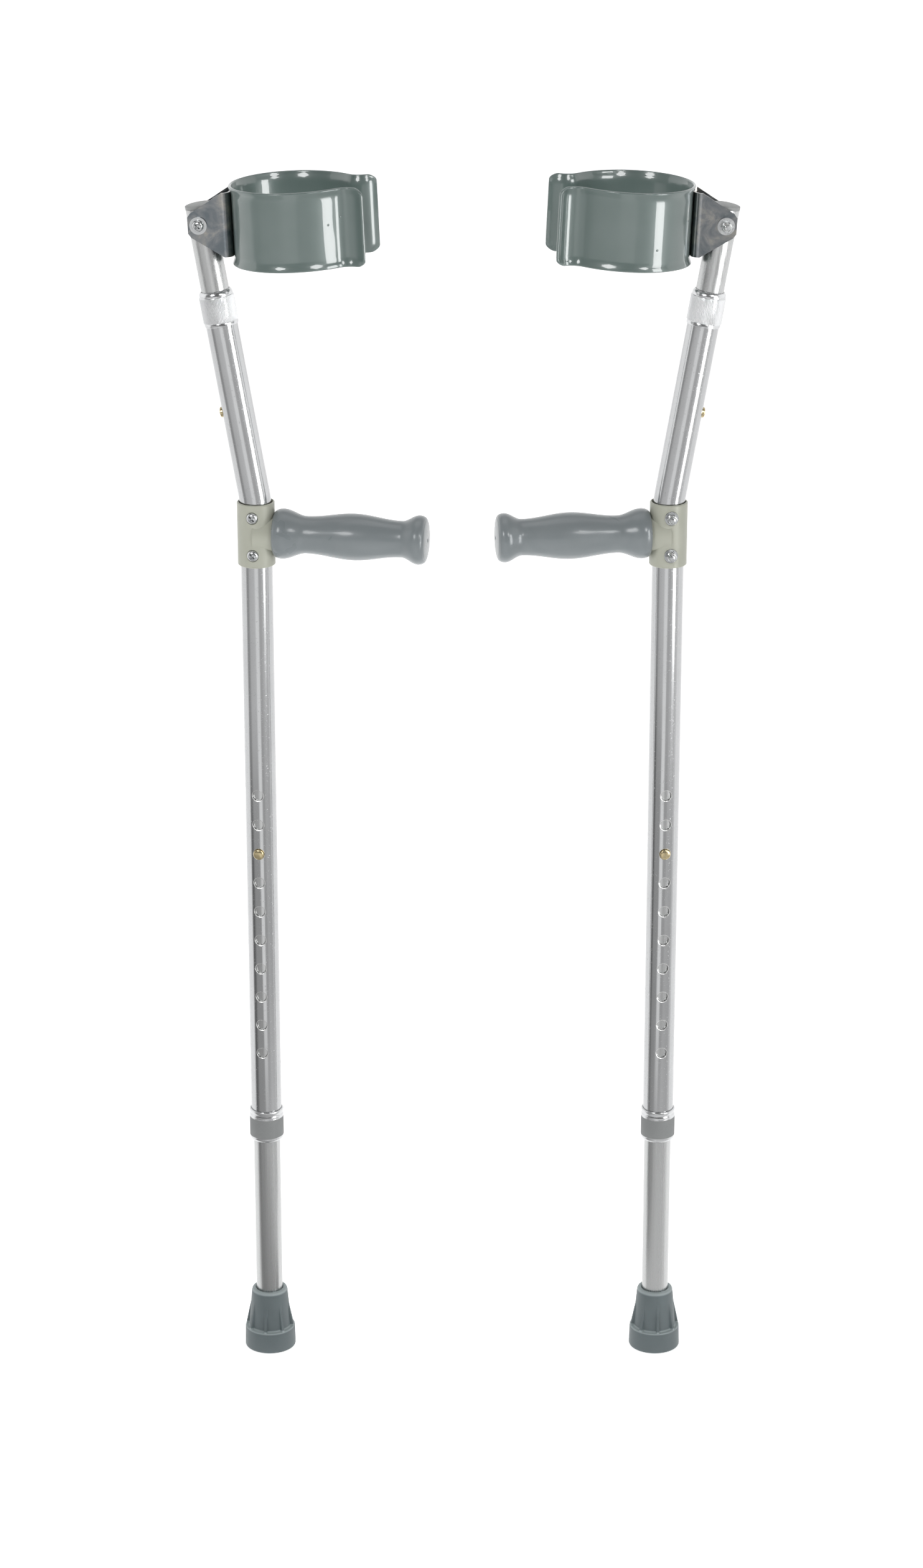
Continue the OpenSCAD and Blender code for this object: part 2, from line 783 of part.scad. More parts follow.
// Zinc-plated U of sheet steel: two tapered ears and a web that is riveted to the cuff
module cuff_bracket() {
    bend_in_r = clevis_bend_r - clevis_t;
    web_x = clevis_reach - clevis_t;
    chamfer = 2.5;
    slope = (clevis_h - ear_h) / 2;
    color("silver") on_pivot() difference() {
        intersection() {
            translate([0, 0, -clevis_h / 2])
                linear_extrude(clevis_h) difference() {
                    union() {
                        translate([-ear_reach, -ear_out])
                            square([clevis_reach + ear_reach - clevis_bend_r, 2 * ear_out]);
                        translate([0, -ear_out + clevis_bend_r])
                            square([clevis_reach, 2 * (ear_out - clevis_bend_r)]);
                        for (side = [-1, 1])
                            translate([clevis_reach - clevis_bend_r, side * (ear_out - clevis_bend_r)])
                                circle(r = clevis_bend_r);
                    }
                    translate([-ear_reach - through, -ear_in])
                        square([web_x + ear_reach + through - bend_in_r, 2 * ear_in]);
                    translate([0, -ear_in + bend_in_r])
                        square([web_x, 2 * (ear_in - bend_in_r)]);
                    for (side = [-1, 1])
                        translate([web_x - bend_in_r, side * (ear_in - bend_in_r)])
                            circle(r = bend_in_r);
                }
            translate([0, 2 * ear_out, 0]) rotate([90, 0, 0])
                linear_extrude(4 * ear_out)
                    polygon([
                        [clevis_reach + through, -clevis_h / 2],
                        [clevis_reach - clevis_bend_r, -clevis_h / 2],
                        [-ear_reach + chamfer, -clevis_h / 2 + slope * 0.95],
                        [-ear_reach, -ear_h / 2 + chamfer],
                        [-ear_reach, ear_h / 2 - chamfer],
                        [-ear_reach + chamfer, clevis_h / 2 - slope * 0.95],
                        [clevis_reach - clevis_bend_r, clevis_h / 2],
                        [clevis_reach + through, clevis_h / 2],
                    ]);
        }
        cross_hole(screw_d + 2 * running, main_d);
        for (z = [-1, 1])
            translate([clevis_reach, 0, z * rivet_spacing / 2])
                rotate([0, 90, 0]) cylinder(d = rivet_d, h = 4 * clevis_t, center = true);
    }
}

// Rivets along X: a domed head inside the cuff and a set head inside the clevis
module cuff_rivets() {
    grip = clevis_t + cuff_t;
    color("gray") on_pivot() for (z = [-1, 1])
        translate([clevis_reach - clevis_t, 0, z * rivet_spacing / 2]) rotate([0, 90, 0])
            rotate_extrude() {
                square([rivet_d / 2, grip]);
                translate([0, grip]) intersection() {
                    square([rivet_head_d / 2, rivet_head_h]);
                    scale([1, rivet_head_h / (rivet_head_d / 2)]) circle(d = rivet_head_d);
                }
                translate([0, -rivet_head_h]) square([rivet_head_d / 2 - 1, rivet_head_h]);
            }
}

module pivot_screw() {
    color("lightgray") on_pivot()
        pan_screw(-ear_out - washer_t, ear_out + washer_t + nut_h + thread_proud);
}

module pivot_nut() {
    color("lightgray") on_pivot() lock_nut(ear_out + washer_t);
}

module pivot_washers() {
    color("silver") on_pivot() {
        y_ring(pivot_washer_d, screw_d + 2 * running, ear_out, washer_t);
        y_ring(pivot_washer_d, screw_d + 2 * running, -ear_out - washer_t, washer_t);
    }
}

module pivot_spacers() {
    spacer_d = 12;
    color("whitesmoke") on_pivot() {
        y_ring(spacer_d, screw_d + 2 * running, ear_in - spacer_t, spacer_t);
        y_ring(spacer_d, screw_d + 2 * running, -ear_in, spacer_t);
    }
}

// ---- Nodes ---------------------------------------------------------------------------------

left() main_tube();  // left_main_tube
left() handle_bracket();  // left_handle_bracket
left() handle_core();  // left_handle_core
left() hand_grip();  // left_hand_grip
left() bracket_screws();  // left_bracket_screws
left() bracket_washers();  // left_bracket_washers
left() bracket_nuts();  // left_bracket_nuts
left() leg_tube();  // left_leg_tube
left() leg_button_front();  // left_leg_button_front
left() leg_button_rear();  // left_leg_button_rear
left() leg_clip_spring();  // left_leg_clip_spring
left() leg_bushing();  // left_leg_bushing
left() leg_lock_collar();  // left_leg_lock_collar
left() rubber_tip();  // left_rubber_tip
left() tip_washer();  // left_tip_washer
left() forearm_tube();  // left_forearm_tube
left() forearm_button();  // left_forearm_button
left() forearm_clip_spring();  // left_forearm_clip_spring
left() forearm_bushing();  // left_forearm_bushing
left() forearm_lock_collar();  // left_forearm_lock_collar
left() forearm_end_cap();  // left_forearm_end_cap
left() cuff();  // left_cuff
left() cuff_bracket();  // left_cuff_bracket
left() cuff_rivets();  // left_cuff_rivets
left() pivot_screw();  // left_pivot_screw
left() pivot_nut();  // left_pivot_nut
left() pivot_washers();  // left_pivot_washers
left() pivot_spacers();  // left_pivot_spacers
right() main_tube();  // right_main_tube
right() handle_bracket();  // right_handle_bracket
right() handle_core();  // right_handle_core
right() hand_grip();  // right_hand_grip
right() bracket_screws();  // right_bracket_screws
right() bracket_washers();  // right_bracket_washers
right() bracket_nuts();  // right_bracket_nuts
right() leg_tube();  // right_leg_tube
right() leg_button_front();  // right_leg_button_front
right() leg_button_rear();  // right_leg_button_rear
right() leg_clip_spring();  // right_leg_clip_spring
right() leg_bushing();  // right_leg_bushing
right() leg_lock_collar();  // right_leg_lock_collar
right() rubber_tip();  // right_rubber_tip
right() tip_washer();  // right_tip_washer
right() forearm_tube();  // right_forearm_tube
right() forearm_button();  // right_forearm_button
right() forearm_clip_spring();  // right_forearm_clip_spring
right() forearm_bushing();  // right_forearm_bushing
right() forearm_lock_collar();  // right_forearm_lock_collar
right() forearm_end_cap();  // right_forearm_end_cap
right() cuff();  // right_cuff
right() cuff_bracket();  // right_cuff_bracket
right() cuff_rivets();  // right_cuff_rivets
right() pivot_screw();  // right_pivot_screw
right() pivot_nut();  // right_pivot_nut
right() pivot_washers();  // right_pivot_washers
right() pivot_spacers();  // right_pivot_spacers
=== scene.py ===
import json
import math

import bpy
import numpy as np
from mathutils import Matrix, Vector, noise
from mathutils.bvhtree import BVHTree


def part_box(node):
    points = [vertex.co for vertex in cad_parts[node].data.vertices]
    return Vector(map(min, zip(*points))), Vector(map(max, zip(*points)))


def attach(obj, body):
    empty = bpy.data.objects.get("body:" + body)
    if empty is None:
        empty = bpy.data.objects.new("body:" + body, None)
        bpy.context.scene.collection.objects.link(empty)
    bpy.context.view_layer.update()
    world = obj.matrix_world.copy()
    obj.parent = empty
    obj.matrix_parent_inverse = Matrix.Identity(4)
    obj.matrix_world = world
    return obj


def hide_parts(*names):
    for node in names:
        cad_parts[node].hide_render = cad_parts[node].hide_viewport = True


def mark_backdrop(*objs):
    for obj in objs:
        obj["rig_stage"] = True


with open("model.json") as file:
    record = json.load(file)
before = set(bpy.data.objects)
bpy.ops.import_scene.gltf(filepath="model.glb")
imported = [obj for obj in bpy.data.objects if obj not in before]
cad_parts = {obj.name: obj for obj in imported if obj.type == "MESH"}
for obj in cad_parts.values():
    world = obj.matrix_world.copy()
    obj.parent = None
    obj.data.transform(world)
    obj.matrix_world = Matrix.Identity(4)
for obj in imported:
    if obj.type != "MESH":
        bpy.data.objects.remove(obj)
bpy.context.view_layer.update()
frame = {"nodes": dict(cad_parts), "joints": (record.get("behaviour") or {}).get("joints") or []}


# ---- Camera ----
# The pair is seen from the front and from a little above the grips, through a long lens.
# The pitch and the distance come from the height holes, 25.4 mm apart, and from the two tips.
# Every image point is written in the photograph's frame, scaled to a long side of 1568.
W, H = 922.8, 1568
EDGES = {"left": 184.7, "right": 740.3, "top": 169.5, "bottom": 1353.4}
POINTS = {
    "left_top_hole": (257.6, 796.2),
    "left_lowest_hole": (262.2, 1053.4),
    "left_leg_button": (258.1, 855.3),
    "left_upper_screw": (251.8, 519.0),
    "left_lower_screw": (252.4, 556.4),
    "left_pivot_screw": (197.5, 226.4),
    "right_upper_nut": (672.2, 519.7),
    "right_lower_nut": (671.5, 557.1),
    "right_pivot_nut": (726.7, 227.2),
    "left_grip_vent": (427.7, 540.4),
    "right_grip_vent": (495.5, 538.0),
    "left_cuff_bead": (340.0, 216.7),
    "left_cuff_lower_bead": (328.2, 225.1),
    "right_cuff_bead": (688.3, 220.9),
    "right_cuff_lower_bead": (657.1, 250.6),
}
camera_lens = 92.857
camera_sensor = 36.0
camera_pitch = 19.8
camera_distance = 3.1107
camera_height = 1.6328
camera_data = bpy.data.cameras.new("camera")
camera_data.lens = camera_lens
camera_data.sensor_width = camera_sensor
camera_data.sensor_fit = "AUTO"
camera_data.clip_end = 50
camera = bpy.data.objects.new("camera", camera_data)
camera.location = (0, -camera_distance, camera_height)
camera.rotation_euler = (math.radians(90 - camera_pitch), 0, 0)
bpy.context.scene.collection.objects.link(camera)
bpy.context.scene.camera = camera
bpy.context.view_layer.update()


# ---- Floor and light ----
# A seamless white paper sweep, lit by three soft boxes. What else stands in the studio shows only
# in reflections: grey cloth in front, a strip light on the right and white flats at both sides.
def colour(code):
    """An sRGB hex value as the linear colour that a shader takes."""
    parts = [int(code[i:i + 2], 16) / 255 for i in (1, 3, 5)]
    return tuple(p / 12.92 if p <= 0.04045 else ((p + 0.055) / 1.055) ** 2.4 for p in parts) + (1.0,)


def add(tree, kind, settings=None, links=None):
    """Adds a node with its settings, by socket or by property, and with the links into it."""
    made = tree.nodes.new(kind)
    for key, value in (settings or {}).items():
        if isinstance(key, int) or key in made.inputs:
            made.inputs[key].default_value = value
        else:
            setattr(made, key, value)
    for key, source in (links or {}).items():
        tree.links.new(source, made.inputs[key])
    return made


def new_material(name):
    material = bpy.data.materials.new(name)
    material.use_nodes = True
    material.node_tree.nodes.clear()
    return material, material.node_tree


def studio_piece(name, points, faces, material):
    """A plain surface that stands in the studio, from points in metres."""
    mesh = bpy.data.meshes.new(name)
    mesh.from_pydata(points, [], faces)
    mesh.polygons.foreach_set("use_smooth", [True] * len(mesh.polygons))
    mesh.materials.append(material)
    piece = bpy.data.objects.new(name, mesh)
    bpy.context.scene.collection.objects.link(piece)
    return piece


# Paper scatters light evenly and has no shine
sweep_paper, tree = new_material("white_sweep_paper")
paper = add(tree, "ShaderNodeBsdfPrincipled", {
    "Base Color": colour("#fbfbfb"), "Roughness": 0.9, "Emission Color": colour("#ffffff"),
    "Emission Strength": 0.62, "Specular IOR Level": 0.0})
add(tree, "ShaderNodeOutputMaterial", links={"Surface": paper.outputs[0]})

sweep_front, sweep_back, sweep_radius, sweep_top, sweep_half = -6.0, 5.5, 1.5, 6.0, 7.0
profile = [(sweep_front, 0.0), (sweep_back - sweep_radius, 0.0)]
profile += [(sweep_back - sweep_radius + sweep_radius * math.sin(math.radians(a)),
             sweep_radius * (1 - math.cos(math.radians(a)))) for a in range(6, 91, 6)]
profile += [(sweep_back, sweep_top)]
sweep = studio_piece("sweep", [(x, y, z) for y, z in profile for x in (-sweep_half, sweep_half)],
                     [(2 * i, 2 * i + 1, 2 * i + 3, 2 * i + 2) for i in range(len(profile) - 1)],
                     sweep_paper)
sweep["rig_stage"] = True

# Grey cloth on the floor draws the bands down the tubes. It fans out about the middle of the
# floor: degrees to the right, then how bright it is close to the stand, further out and far out.
cloth_bands = [(-90, 1.2, 1.2, 1.2), (-84, 1.0, 1.0, 1.0), (-79, 0.26, 0.15, 0.42), (-66, 0.33, 0.24, 0.5),
               (-58, 0.4, 0.46, 0.74), (-22, 0.5, 0.47, 0.85), (-15, 0.56, 1.15, 1.15), (4, 0.64, 1.15, 1.15),
               (9, 0.68, 0.55, 0.66), (24, 0.74, 0.55, 0.66), (31, 0.8, 0.68, 0.76), (68, 0.78, 0.62, 0.8),
               (84, 0.95, 1.0, 1.0), (90, 1.2, 1.2, 1.2)]
cloth_fades = [(0.4, 0.75), (1.4, 1.75)]  # metres out, where one brightness gives way to the next
cloth_reach, cloth_lift = 40.0, 0.002
front_cloth, tree = new_material("front_cloth")
at = add(tree, "ShaderNodeTexCoord")
fan = add(tree, "ShaderNodeTexGradient", {"gradient_type": "RADIAL"}, {0: at.outputs["Object"]})
out = add(tree, "ShaderNodeVectorMath", {"operation": "LENGTH"}, {0: at.outputs["Object"]})
zones = []
for zone in (1, 2, 3):
    bands = add(tree, "ShaderNodeValToRGB", links={0: fan.outputs["Fac"]})
    for i, band in enumerate(cloth_bands):
        place, bright = 0.25 + band[0] / 360, band[zone]
        stop = bands.color_ramp.elements[i] if i < 2 else bands.color_ramp.elements.new(place)
        stop.position, stop.color = place, (bright, bright, bright, 1)
    zones.append(bands.outputs[0])
shade = zones[0]
for (begins, ends), further in zip(cloth_fades, zones[1:]):
    reached = add(tree, "ShaderNodeMapRange", {1: begins, 2: ends}, {0: out.outputs["Value"]})
    shade = add(tree, "ShaderNodeMix", {"data_type": "RGBA"}, {
        0: reached.outputs[0], 6: shade, 7: further}).outputs[2]
lit = add(tree, "ShaderNodeEmission", links={0: shade})
add(tree, "ShaderNodeOutputMaterial", links={0: lit.outputs[0]})
cloth = studio_piece("front_cloth", [
    (-cloth_reach, -cloth_reach, cloth_lift), (cloth_reach, -cloth_reach, cloth_lift),
    (cloth_reach, 0, cloth_lift), (-cloth_reach, 0, cloth_lift)], [(0, 1, 2, 3)], front_cloth)

# A tall strip light stands on the floor at the front right, and shows as the long streak down
# each cuff and the white line down the upper tubes. Its light on the rest is in the soft boxes.
strip_left, strip_right, strip_foot, strip_top = (1.43, -1.43), (1.77, -0.94), 0.02, 1.6
strip_glow, tree = new_material("strip_light")
at = add(tree, "ShaderNodeTexCoord")
height = add(tree, "ShaderNodeSeparateXYZ", links={0: at.outputs["Object"]})
glow = add(tree, "ShaderNodeMapRange", {1: 0.0, 2: 0.35, 3: 1.5, 4: 11.0}, {0: height.outputs["Z"]})
lit = add(tree, "ShaderNodeEmission", links={"Strength": glow.outputs[0]})
add(tree, "ShaderNodeOutputMaterial", links={0: lit.outputs[0]})
strip = studio_piece("strip_light", [
    (*strip_left, strip_foot), (*strip_right, strip_foot), (*strip_right, strip_top),
    (*strip_left, strip_top)], [(0, 1, 2, 3)], strip_glow)

# White flats at both sides close the studio, and keep the outer edges of the leaning tubes light
flat_out, flat_front, flat_back, flat_top = 5.0, -1.2, 5.5, 4.5
flat_paint, tree = new_material("white_flat")
lit = add(tree, "ShaderNodeEmission", {"Strength": 1.3})
add(tree, "ShaderNodeOutputMaterial", links={0: lit.outputs[0]})
corners = [(flat_front, 0.0), (flat_back, 0.0), (flat_back, flat_top), (flat_front, flat_top)]
flats = studio_piece("white_flats", [(x, y, z) for x in (-flat_out, flat_out) for y, z in corners],
                     [(0, 1, 2, 3), (4, 5, 6, 7)], flat_paint)
for flag in (cloth, strip, flats):
    flag.visible_camera = flag.visible_diffuse = flag.visible_shadow = False
    flag.visible_transmission = flag.visible_volume_scatter = False
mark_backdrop(cloth, strip, flats)

# The room is grey behind the camera and white behind the stand. Past the edges of the sweep the
# picture stays as white as the paper.
world = bpy.data.worlds.new("studio")
world.use_nodes = True
bpy.context.scene.world = world
tree = world.node_tree
tree.nodes.clear()
direction = add(tree, "ShaderNodeTexCoord")
parts = add(tree, "ShaderNodeSeparateXYZ", links={0: direction.outputs["Generated"]})
depth = add(tree, "ShaderNodeMapRange", {1: -1.0, 2: 1.0}, {0: parts.outputs["Y"]})
ramp = add(tree, "ShaderNodeValToRGB", links={0: depth.outputs[0]})
for stop, place, code in zip(ramp.color_ramp.elements, (0.18, 0.62), ("#8c8c8c", "#ffffff")):
    stop.position, stop.color = place, colour(code)
room = add(tree, "ShaderNodeBackground", {"Strength": 0.5}, {"Color": ramp.outputs[0]})
white = add(tree, "ShaderNodeBackground", {"Color": colour("#ffffff"), "Strength": 1.0})
ray = add(tree, "ShaderNodeLightPath")
seen = add(tree, "ShaderNodeMixShader", links={
    0: ray.outputs["Is Camera Ray"], 1: room.outputs[0], 2: white.outputs[0]})
add(tree, "ShaderNodeOutputWorld", links={0: seen.outputs[0]})


def soft_box(name, at, towards, size, power, turn=0):
    """A rectangular lamp that faces a place and is turned about its own axis, in degrees."""
    data = bpy.data.lights.new(name, "AREA")
    data.shape = "RECTANGLE"
    data.size, data.size_y = size
    data.energy = power
    lamp = bpy.data.objects.new(name, data)
    lamp.location = at
    aim = (Vector(at) - Vector(towards)).to_track_quat("Z", "Y").to_matrix()
    lamp.rotation_euler = (aim @ Matrix.Rotation(math.radians(turn), 3, "Z")).to_euler()
    bpy.context.scene.collection.objects.link(lamp)


soft_box("left_soft_box", (-1.15, -1.95, 2.0), (0, 0, 0.75), (0.7, 0.7), 18, 45)
soft_box("right_soft_box", (1.15, -1.95, 2.0), (0, 0, 0.75), (0.6, 0.6), 13, 45)
soft_box("top_soft_box", (0.0, 0.4, 3.6), (0, 0, 0.4), (2.4, 1.6), 14)
bpy.context.scene.view_settings.view_transform = "Standard"


# ---- Crutch frames ----
# Each crutch is laid out in its own frame, as it is assembled: the main tube runs up Z from the
# floor and the grip points to X. The tip's box gives its place, the joints give its directions.
SIDES = ("left", "right")
joints = {joint["name"]: joint for joint in frame["joints"]}
cuff_tilt = math.radians(2.6)
CRUTCH, FOREARM, CUFF = {}, {}, {}


def axes_at(x_axis, y_axis, z_axis, spot):
    place = Matrix((x_axis, y_axis, z_axis)).transposed().to_4x4()
    place.translation = spot
    return place


for side in SIDES:
    low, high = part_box(f"{side}_rubber_tip")
    y_axis = Vector(joints[f"{side}_front_button_press"]["axis"]).normalized()
    z_axis = Vector((0, 0, 1))
    x_axis = y_axis.cross(z_axis)
    CRUTCH[side] = axes_at(x_axis, y_axis, z_axis, ((low.x + high.x) / 2, (low.y + high.y) / 2, 0))
    up = Vector(joints[f"{side}_forearm_height"]["axis"]).normalized()
    pivot = Vector(joints[f"{side}_cuff_pivot"]["pos_m"])
    FOREARM[side] = axes_at(y_axis.cross(up), y_axis, up, pivot)
    to_cuff = x_axis * math.cos(cuff_tilt) + z_axis * math.sin(cuff_tilt)
    CUFF[side] = axes_at(to_cuff, y_axis, to_cuff.cross(y_axis), pivot)


# ---- Main tubes ----
# Drawn aluminium tube, 25.4 mm with a 1.2 mm wall, clear-anodised bright. It is bent once under
# the grip's sleeve, and drilled after bending. The drawing leaves faint lines along the tube.
MM = 0.001


def new_mesh(name, points, faces, material, sharp=35):
    """A piece from points in millimetres, smooth up to an angle between its faces, in degrees."""
    mesh = bpy.data.meshes.new(name)
    mesh.from_pydata([[c * MM for c in point] for point in points], [], faces)
    mesh.polygons.foreach_set("use_smooth", [True] * len(mesh.polygons))
    mesh.set_sharp_from_angle(angle=math.radians(sharp))
    mesh.materials.append(material)
    made = bpy.data.objects.new(name, mesh)
    bpy.context.scene.collection.objects.link(made)
    return made


def rings_to_faces(count, steps, closed=True):
    rows = count if closed else count - 1
    return [(i * steps + j, i * steps + (j + 1) % steps,
             (i + 1) % count * steps + (j + 1) % steps, (i + 1) % count * steps + j)
            for i in range(rows) for j in range(steps)]


def shaped(tree_name, target, **sizes):
    """Runs a geometry tree on a piece and leaves the plain mesh that it makes."""
    modifier = target.modifiers.new("shape", "NODES")
    modifier.node_group = bpy.data.node_groups[tree_name]
    sockets = {i.name: i.identifier for i in modifier.node_group.interface.items_tree
               if i.in_out == "INPUT"}
    for name, value in sizes.items():
        modifier[sockets[name.replace("_", " ")]] = value
    seen = target.evaluated_get(bpy.context.evaluated_depsgraph_get())
    mesh = bpy.data.meshes.new_from_object(seen)
    target.modifiers.remove(modifier)
    target.data = mesh
    return target


def new_tree(name, inputs):
    made = bpy.data.node_groups.new(name, "GeometryNodeTree")
    made.interface.new_socket("Geometry", in_out="INPUT", socket_type="NodeSocketGeometry")
    for label, kind in inputs:
        made.interface.new_socket(label, in_out="INPUT", socket_type="NodeSocket" + kind)
    made.interface.new_socket("Geometry", in_out="OUTPUT", socket_type="NodeSocketGeometry")
    return made, made.nodes.new("NodeGroupInput").outputs, made.nodes.new("NodeGroupOutput").inputs


# Anodising keeps the fine drawn lines and adds small dull pits, over a very even grey
anodised, tree = new_material("anodised_drawn_aluminium")
at = add(tree, "ShaderNodeTexCoord")
drawn = add(tree, "ShaderNodeMapping", {"Scale": (1 / 0.0012, 1 / 0.0012, 1 / 0.25)}, {0: at.outputs["Object"]})
lines = add(tree, "ShaderNodeTexNoise", {"Scale": 1.0, "Detail": 3.0, "Roughness": 0.6}, {0: drawn.outputs[0]})
cloud = add(tree, "ShaderNodeTexNoise", {"Scale": 1 / 0.03, "Detail": 2.0}, {0: at.outputs["Object"]})
pits = add(tree, "ShaderNodeTexNoise", {"Scale": 1 / 0.0014, "Detail": 2.0}, {0: at.outputs["Object"]})
gloss = add(tree, "ShaderNodeMapRange", {1: 0.3, 2: 0.7, 3: 0.1, 4: 0.16}, {0: lines.outputs[0]})
pitted = add(tree, "ShaderNodeMapRange", {1: 0.63, 2: 0.7, 3: 0.0, 4: 0.22}, {0: pits.outputs[0]})
dull = add(tree, "ShaderNodeMath", {"operation": "ADD"}, {0: gloss.outputs[0], 1: pitted.outputs[0]})
tone = add(tree, "ShaderNodeMix", {"data_type": "RGBA", 6: colour("#b6b7b8"), 7: colour("#c0c1c2")},
           {0: cloud.outputs[0]})
relief = add(tree, "ShaderNodeBump", {"Strength": 0.12, "Distance": 0.00002}, {"Height": lines.outputs[0]})
metal = add(tree, "ShaderNodeBsdfPrincipled", {"Metallic": 1.0}, {
    "Base Color": tone.outputs[2], "Roughness": dull.outputs[0], "Normal": relief.outputs[0]})
add(tree, "ShaderNodeOutputMaterial", links={0: metal.outputs[0]})

# Inside the tube the bore is matt and even, painted near-white, much paler than the bare metal, so that the
# height holes look lit inside: painted light
bore_painted_pale, tree = new_material("bore_painted_pale")
at = add(tree, "ShaderNodeTexCoord")
bore_mottle = add(tree, "ShaderNodeTexNoise", {"Scale": 1 / 0.003, "Detail": 3.0}, {0: at.outputs["Object"]})
# The near-white of the painted light, with a faint random mottle
tone = add(tree, "ShaderNodeMix", {"data_type": "RGBA", 6: colour("#ececec"), 7: colour("#f6f6f6")},
           {0: bore_mottle.outputs[0]})
metal = add(tree, "ShaderNodeBsdfPrincipled", {"Roughness": 0.7, "Specular IOR Level": 0.3},
            {"Base Color": tone.outputs[2]})
add(tree, "ShaderNodeOutputMaterial", links={0: metal.outputs[0]})

# A row of drilled holes: a cutter on each point of a line, taken out of the tube
drilled, given, result = new_tree("drilled_row", [
    ("Count", "Int"), ("First", "Vector"), ("Pitch", "Vector"), ("Turn", "Vector"),
    ("Radius", "Float"), ("Reach", "Float"), ("Skip", "Float")])
row = add(drilled, "GeometryNodeMeshLine", {"mode": "OFFSET"}, {
    "Count": given["Count"], "Start Location": given["First"], "Offset": given["Pitch"]})
cutter = add(drilled, "GeometryNodeMeshCylinder", {"Vertices": 40}, {
    "Radius": given["Radius"], "Depth": given["Reach"]})
moved = add(drilled, "GeometryNodeTransform", links={
    "Geometry": cutter.outputs[0],
    "Translation": add(drilled, "ShaderNodeCombineXYZ", links={"Z": given["Skip"]}).outputs[0]})
cutters = add(drilled, "GeometryNodeInstanceOnPoints", links={
    "Points": row.outputs[0], "Instance": moved.outputs[0],
    "Rotation": add(drilled, "FunctionNodeEulerToRotation", links={0: given["Turn"]}).outputs[0]})
cut = add(drilled, "GeometryNodeMeshBoolean", {"operation": "DIFFERENCE", "solver": "EXACT"}, {
    "Mesh 1": given["Geometry"],
    "Mesh 2": add(drilled, "GeometryNodeRealizeInstances", links={0: cutters.outputs[0]}).outputs[0]})
drilled.links.new(cut.outputs[0], result[0])

# Skin and bore of the main tube, and of the two tubes that slide in it
main_r, main_bore_r, inner_r, inner_bore_r = 12.7, 11.5, 11.1, 9.9
tube_steps, tube_edge, sharp_edge = 96, 0.3, math.radians(35)
# Heights from the floor to the main tube's foot and bend, then how far it leans and runs on
main_foot, bend_from, bend_r, bend_steps, lean, upper_len = 204, 744, 80, 12, 9.8, 157
# The height holes go down from the top one. Those of the forearm tube go up from the bend's end
top_hole, hole_pitch, hole_count, hole_r, forearm_hole, forearm_holes = 505, 25.4, 10, 4.5, 69, 3
lowest_hole = top_hole - (hole_count - 1) * hole_pitch
button_height, screw_heights, grip_height = 454.2, (709.8, 740.8), 725.3
screw_rise = screw_heights[1] - screw_heights[0]
rim_seat_r, screw_hole_r = 4.93, 2.7
quarter = math.radians(90)
through, one_wall = 0.04, 0.02  # a cutter's length, in metres, for both walls or for one
straight = Matrix.Identity(3)
lean_turn = Matrix.Rotation(math.radians(-lean), 4, "Y")


def outwards(made):
    """Turns a closed shell the right way round where its rings were laid the other way."""
    mesh = made.data
    volume = sum(mesh.vertices[t.vertices[0]].co.dot(
        mesh.vertices[t.vertices[1]].co.cross(mesh.vertices[t.vertices[2]].co))
        for t in (mesh.calc_loop_triangles() or mesh.loop_triangles))
    if volume < 0:
        mesh.flip_normals()
    return made


def drawn_tube(name, path, outer, bore, material):
    """A tube along a path of (centre, turn): up its skin and down its bore, with soft rims."""
    points, edge = [], tube_edge
    first, last = path[0], path[-1]
    rows = [(first, outer - edge, 0), (first, outer, edge)]
    rows += [(stop, outer, 0) for stop in path[1:-1]]
    rows += [(last, outer, -edge), (last, outer - edge, 0), (last, bore + edge, 0), (last, bore, -edge)]
    rows += [(stop, bore, 0) for stop in path[-2:0:-1]]
    rows += [(first, bore, edge), (first, bore + edge, 0)]
    for (centre, turn), r, slide in rows:
        for j in range(tube_steps):
            a = 2 * math.pi * j / tube_steps
            points.append(centre + turn @ Vector((r * math.cos(a), r * math.sin(a), slide)))
    return outwards(new_mesh(name, points, rings_to_faces(len(rows), tube_steps), material))


def on_bend(turned_by):
    """A place on the bend of the main tube's axis, at an angle in radians."""
    return Vector((-bend_r * (1 - math.cos(turned_by)), 0, bend_from + bend_r * math.sin(turned_by)))


main_path = [(Vector((0, 0, z)), straight) for z in (main_foot, 330, 457, 584, 711, bend_from)]
for step in range(1, bend_steps + 1):
    a = math.radians(lean * step / bend_steps)
    main_path.append((on_bend(a), Matrix.Rotation(-a, 3, "Y")))
bend_end = on_bend(math.radians(lean))
for along in (40, 80, 120, upper_len):
    main_path.append((bend_end + lean_turn @ Vector((0, 0, along)), lean_turn.to_3x3()))

# Like pieces in a row: one on each point of a line
rowed, given, result = new_tree("set_in_a_row", [
    ("Count", "Int"), ("First", "Vector"), ("Pitch", "Vector"), ("Finish", "Material")])
row = add(rowed, "GeometryNodeMeshLine", {"mode": "OFFSET"}, {
    "Count": given["Count"], "Start Location": given["First"], "Offset": given["Pitch"]})
placed = add(rowed, "GeometryNodeInstanceOnPoints", links={
    "Points": row.outputs[0], "Instance": given["Geometry"]})
real = add(rowed, "GeometryNodeRealizeInstances", links={0: placed.outputs[0]})
painted = add(rowed, "GeometryNodeSetMaterial", links={0: real.outputs[0], "Material": given["Finish"]})
rowed.links.new(painted.outputs[0], result[0])

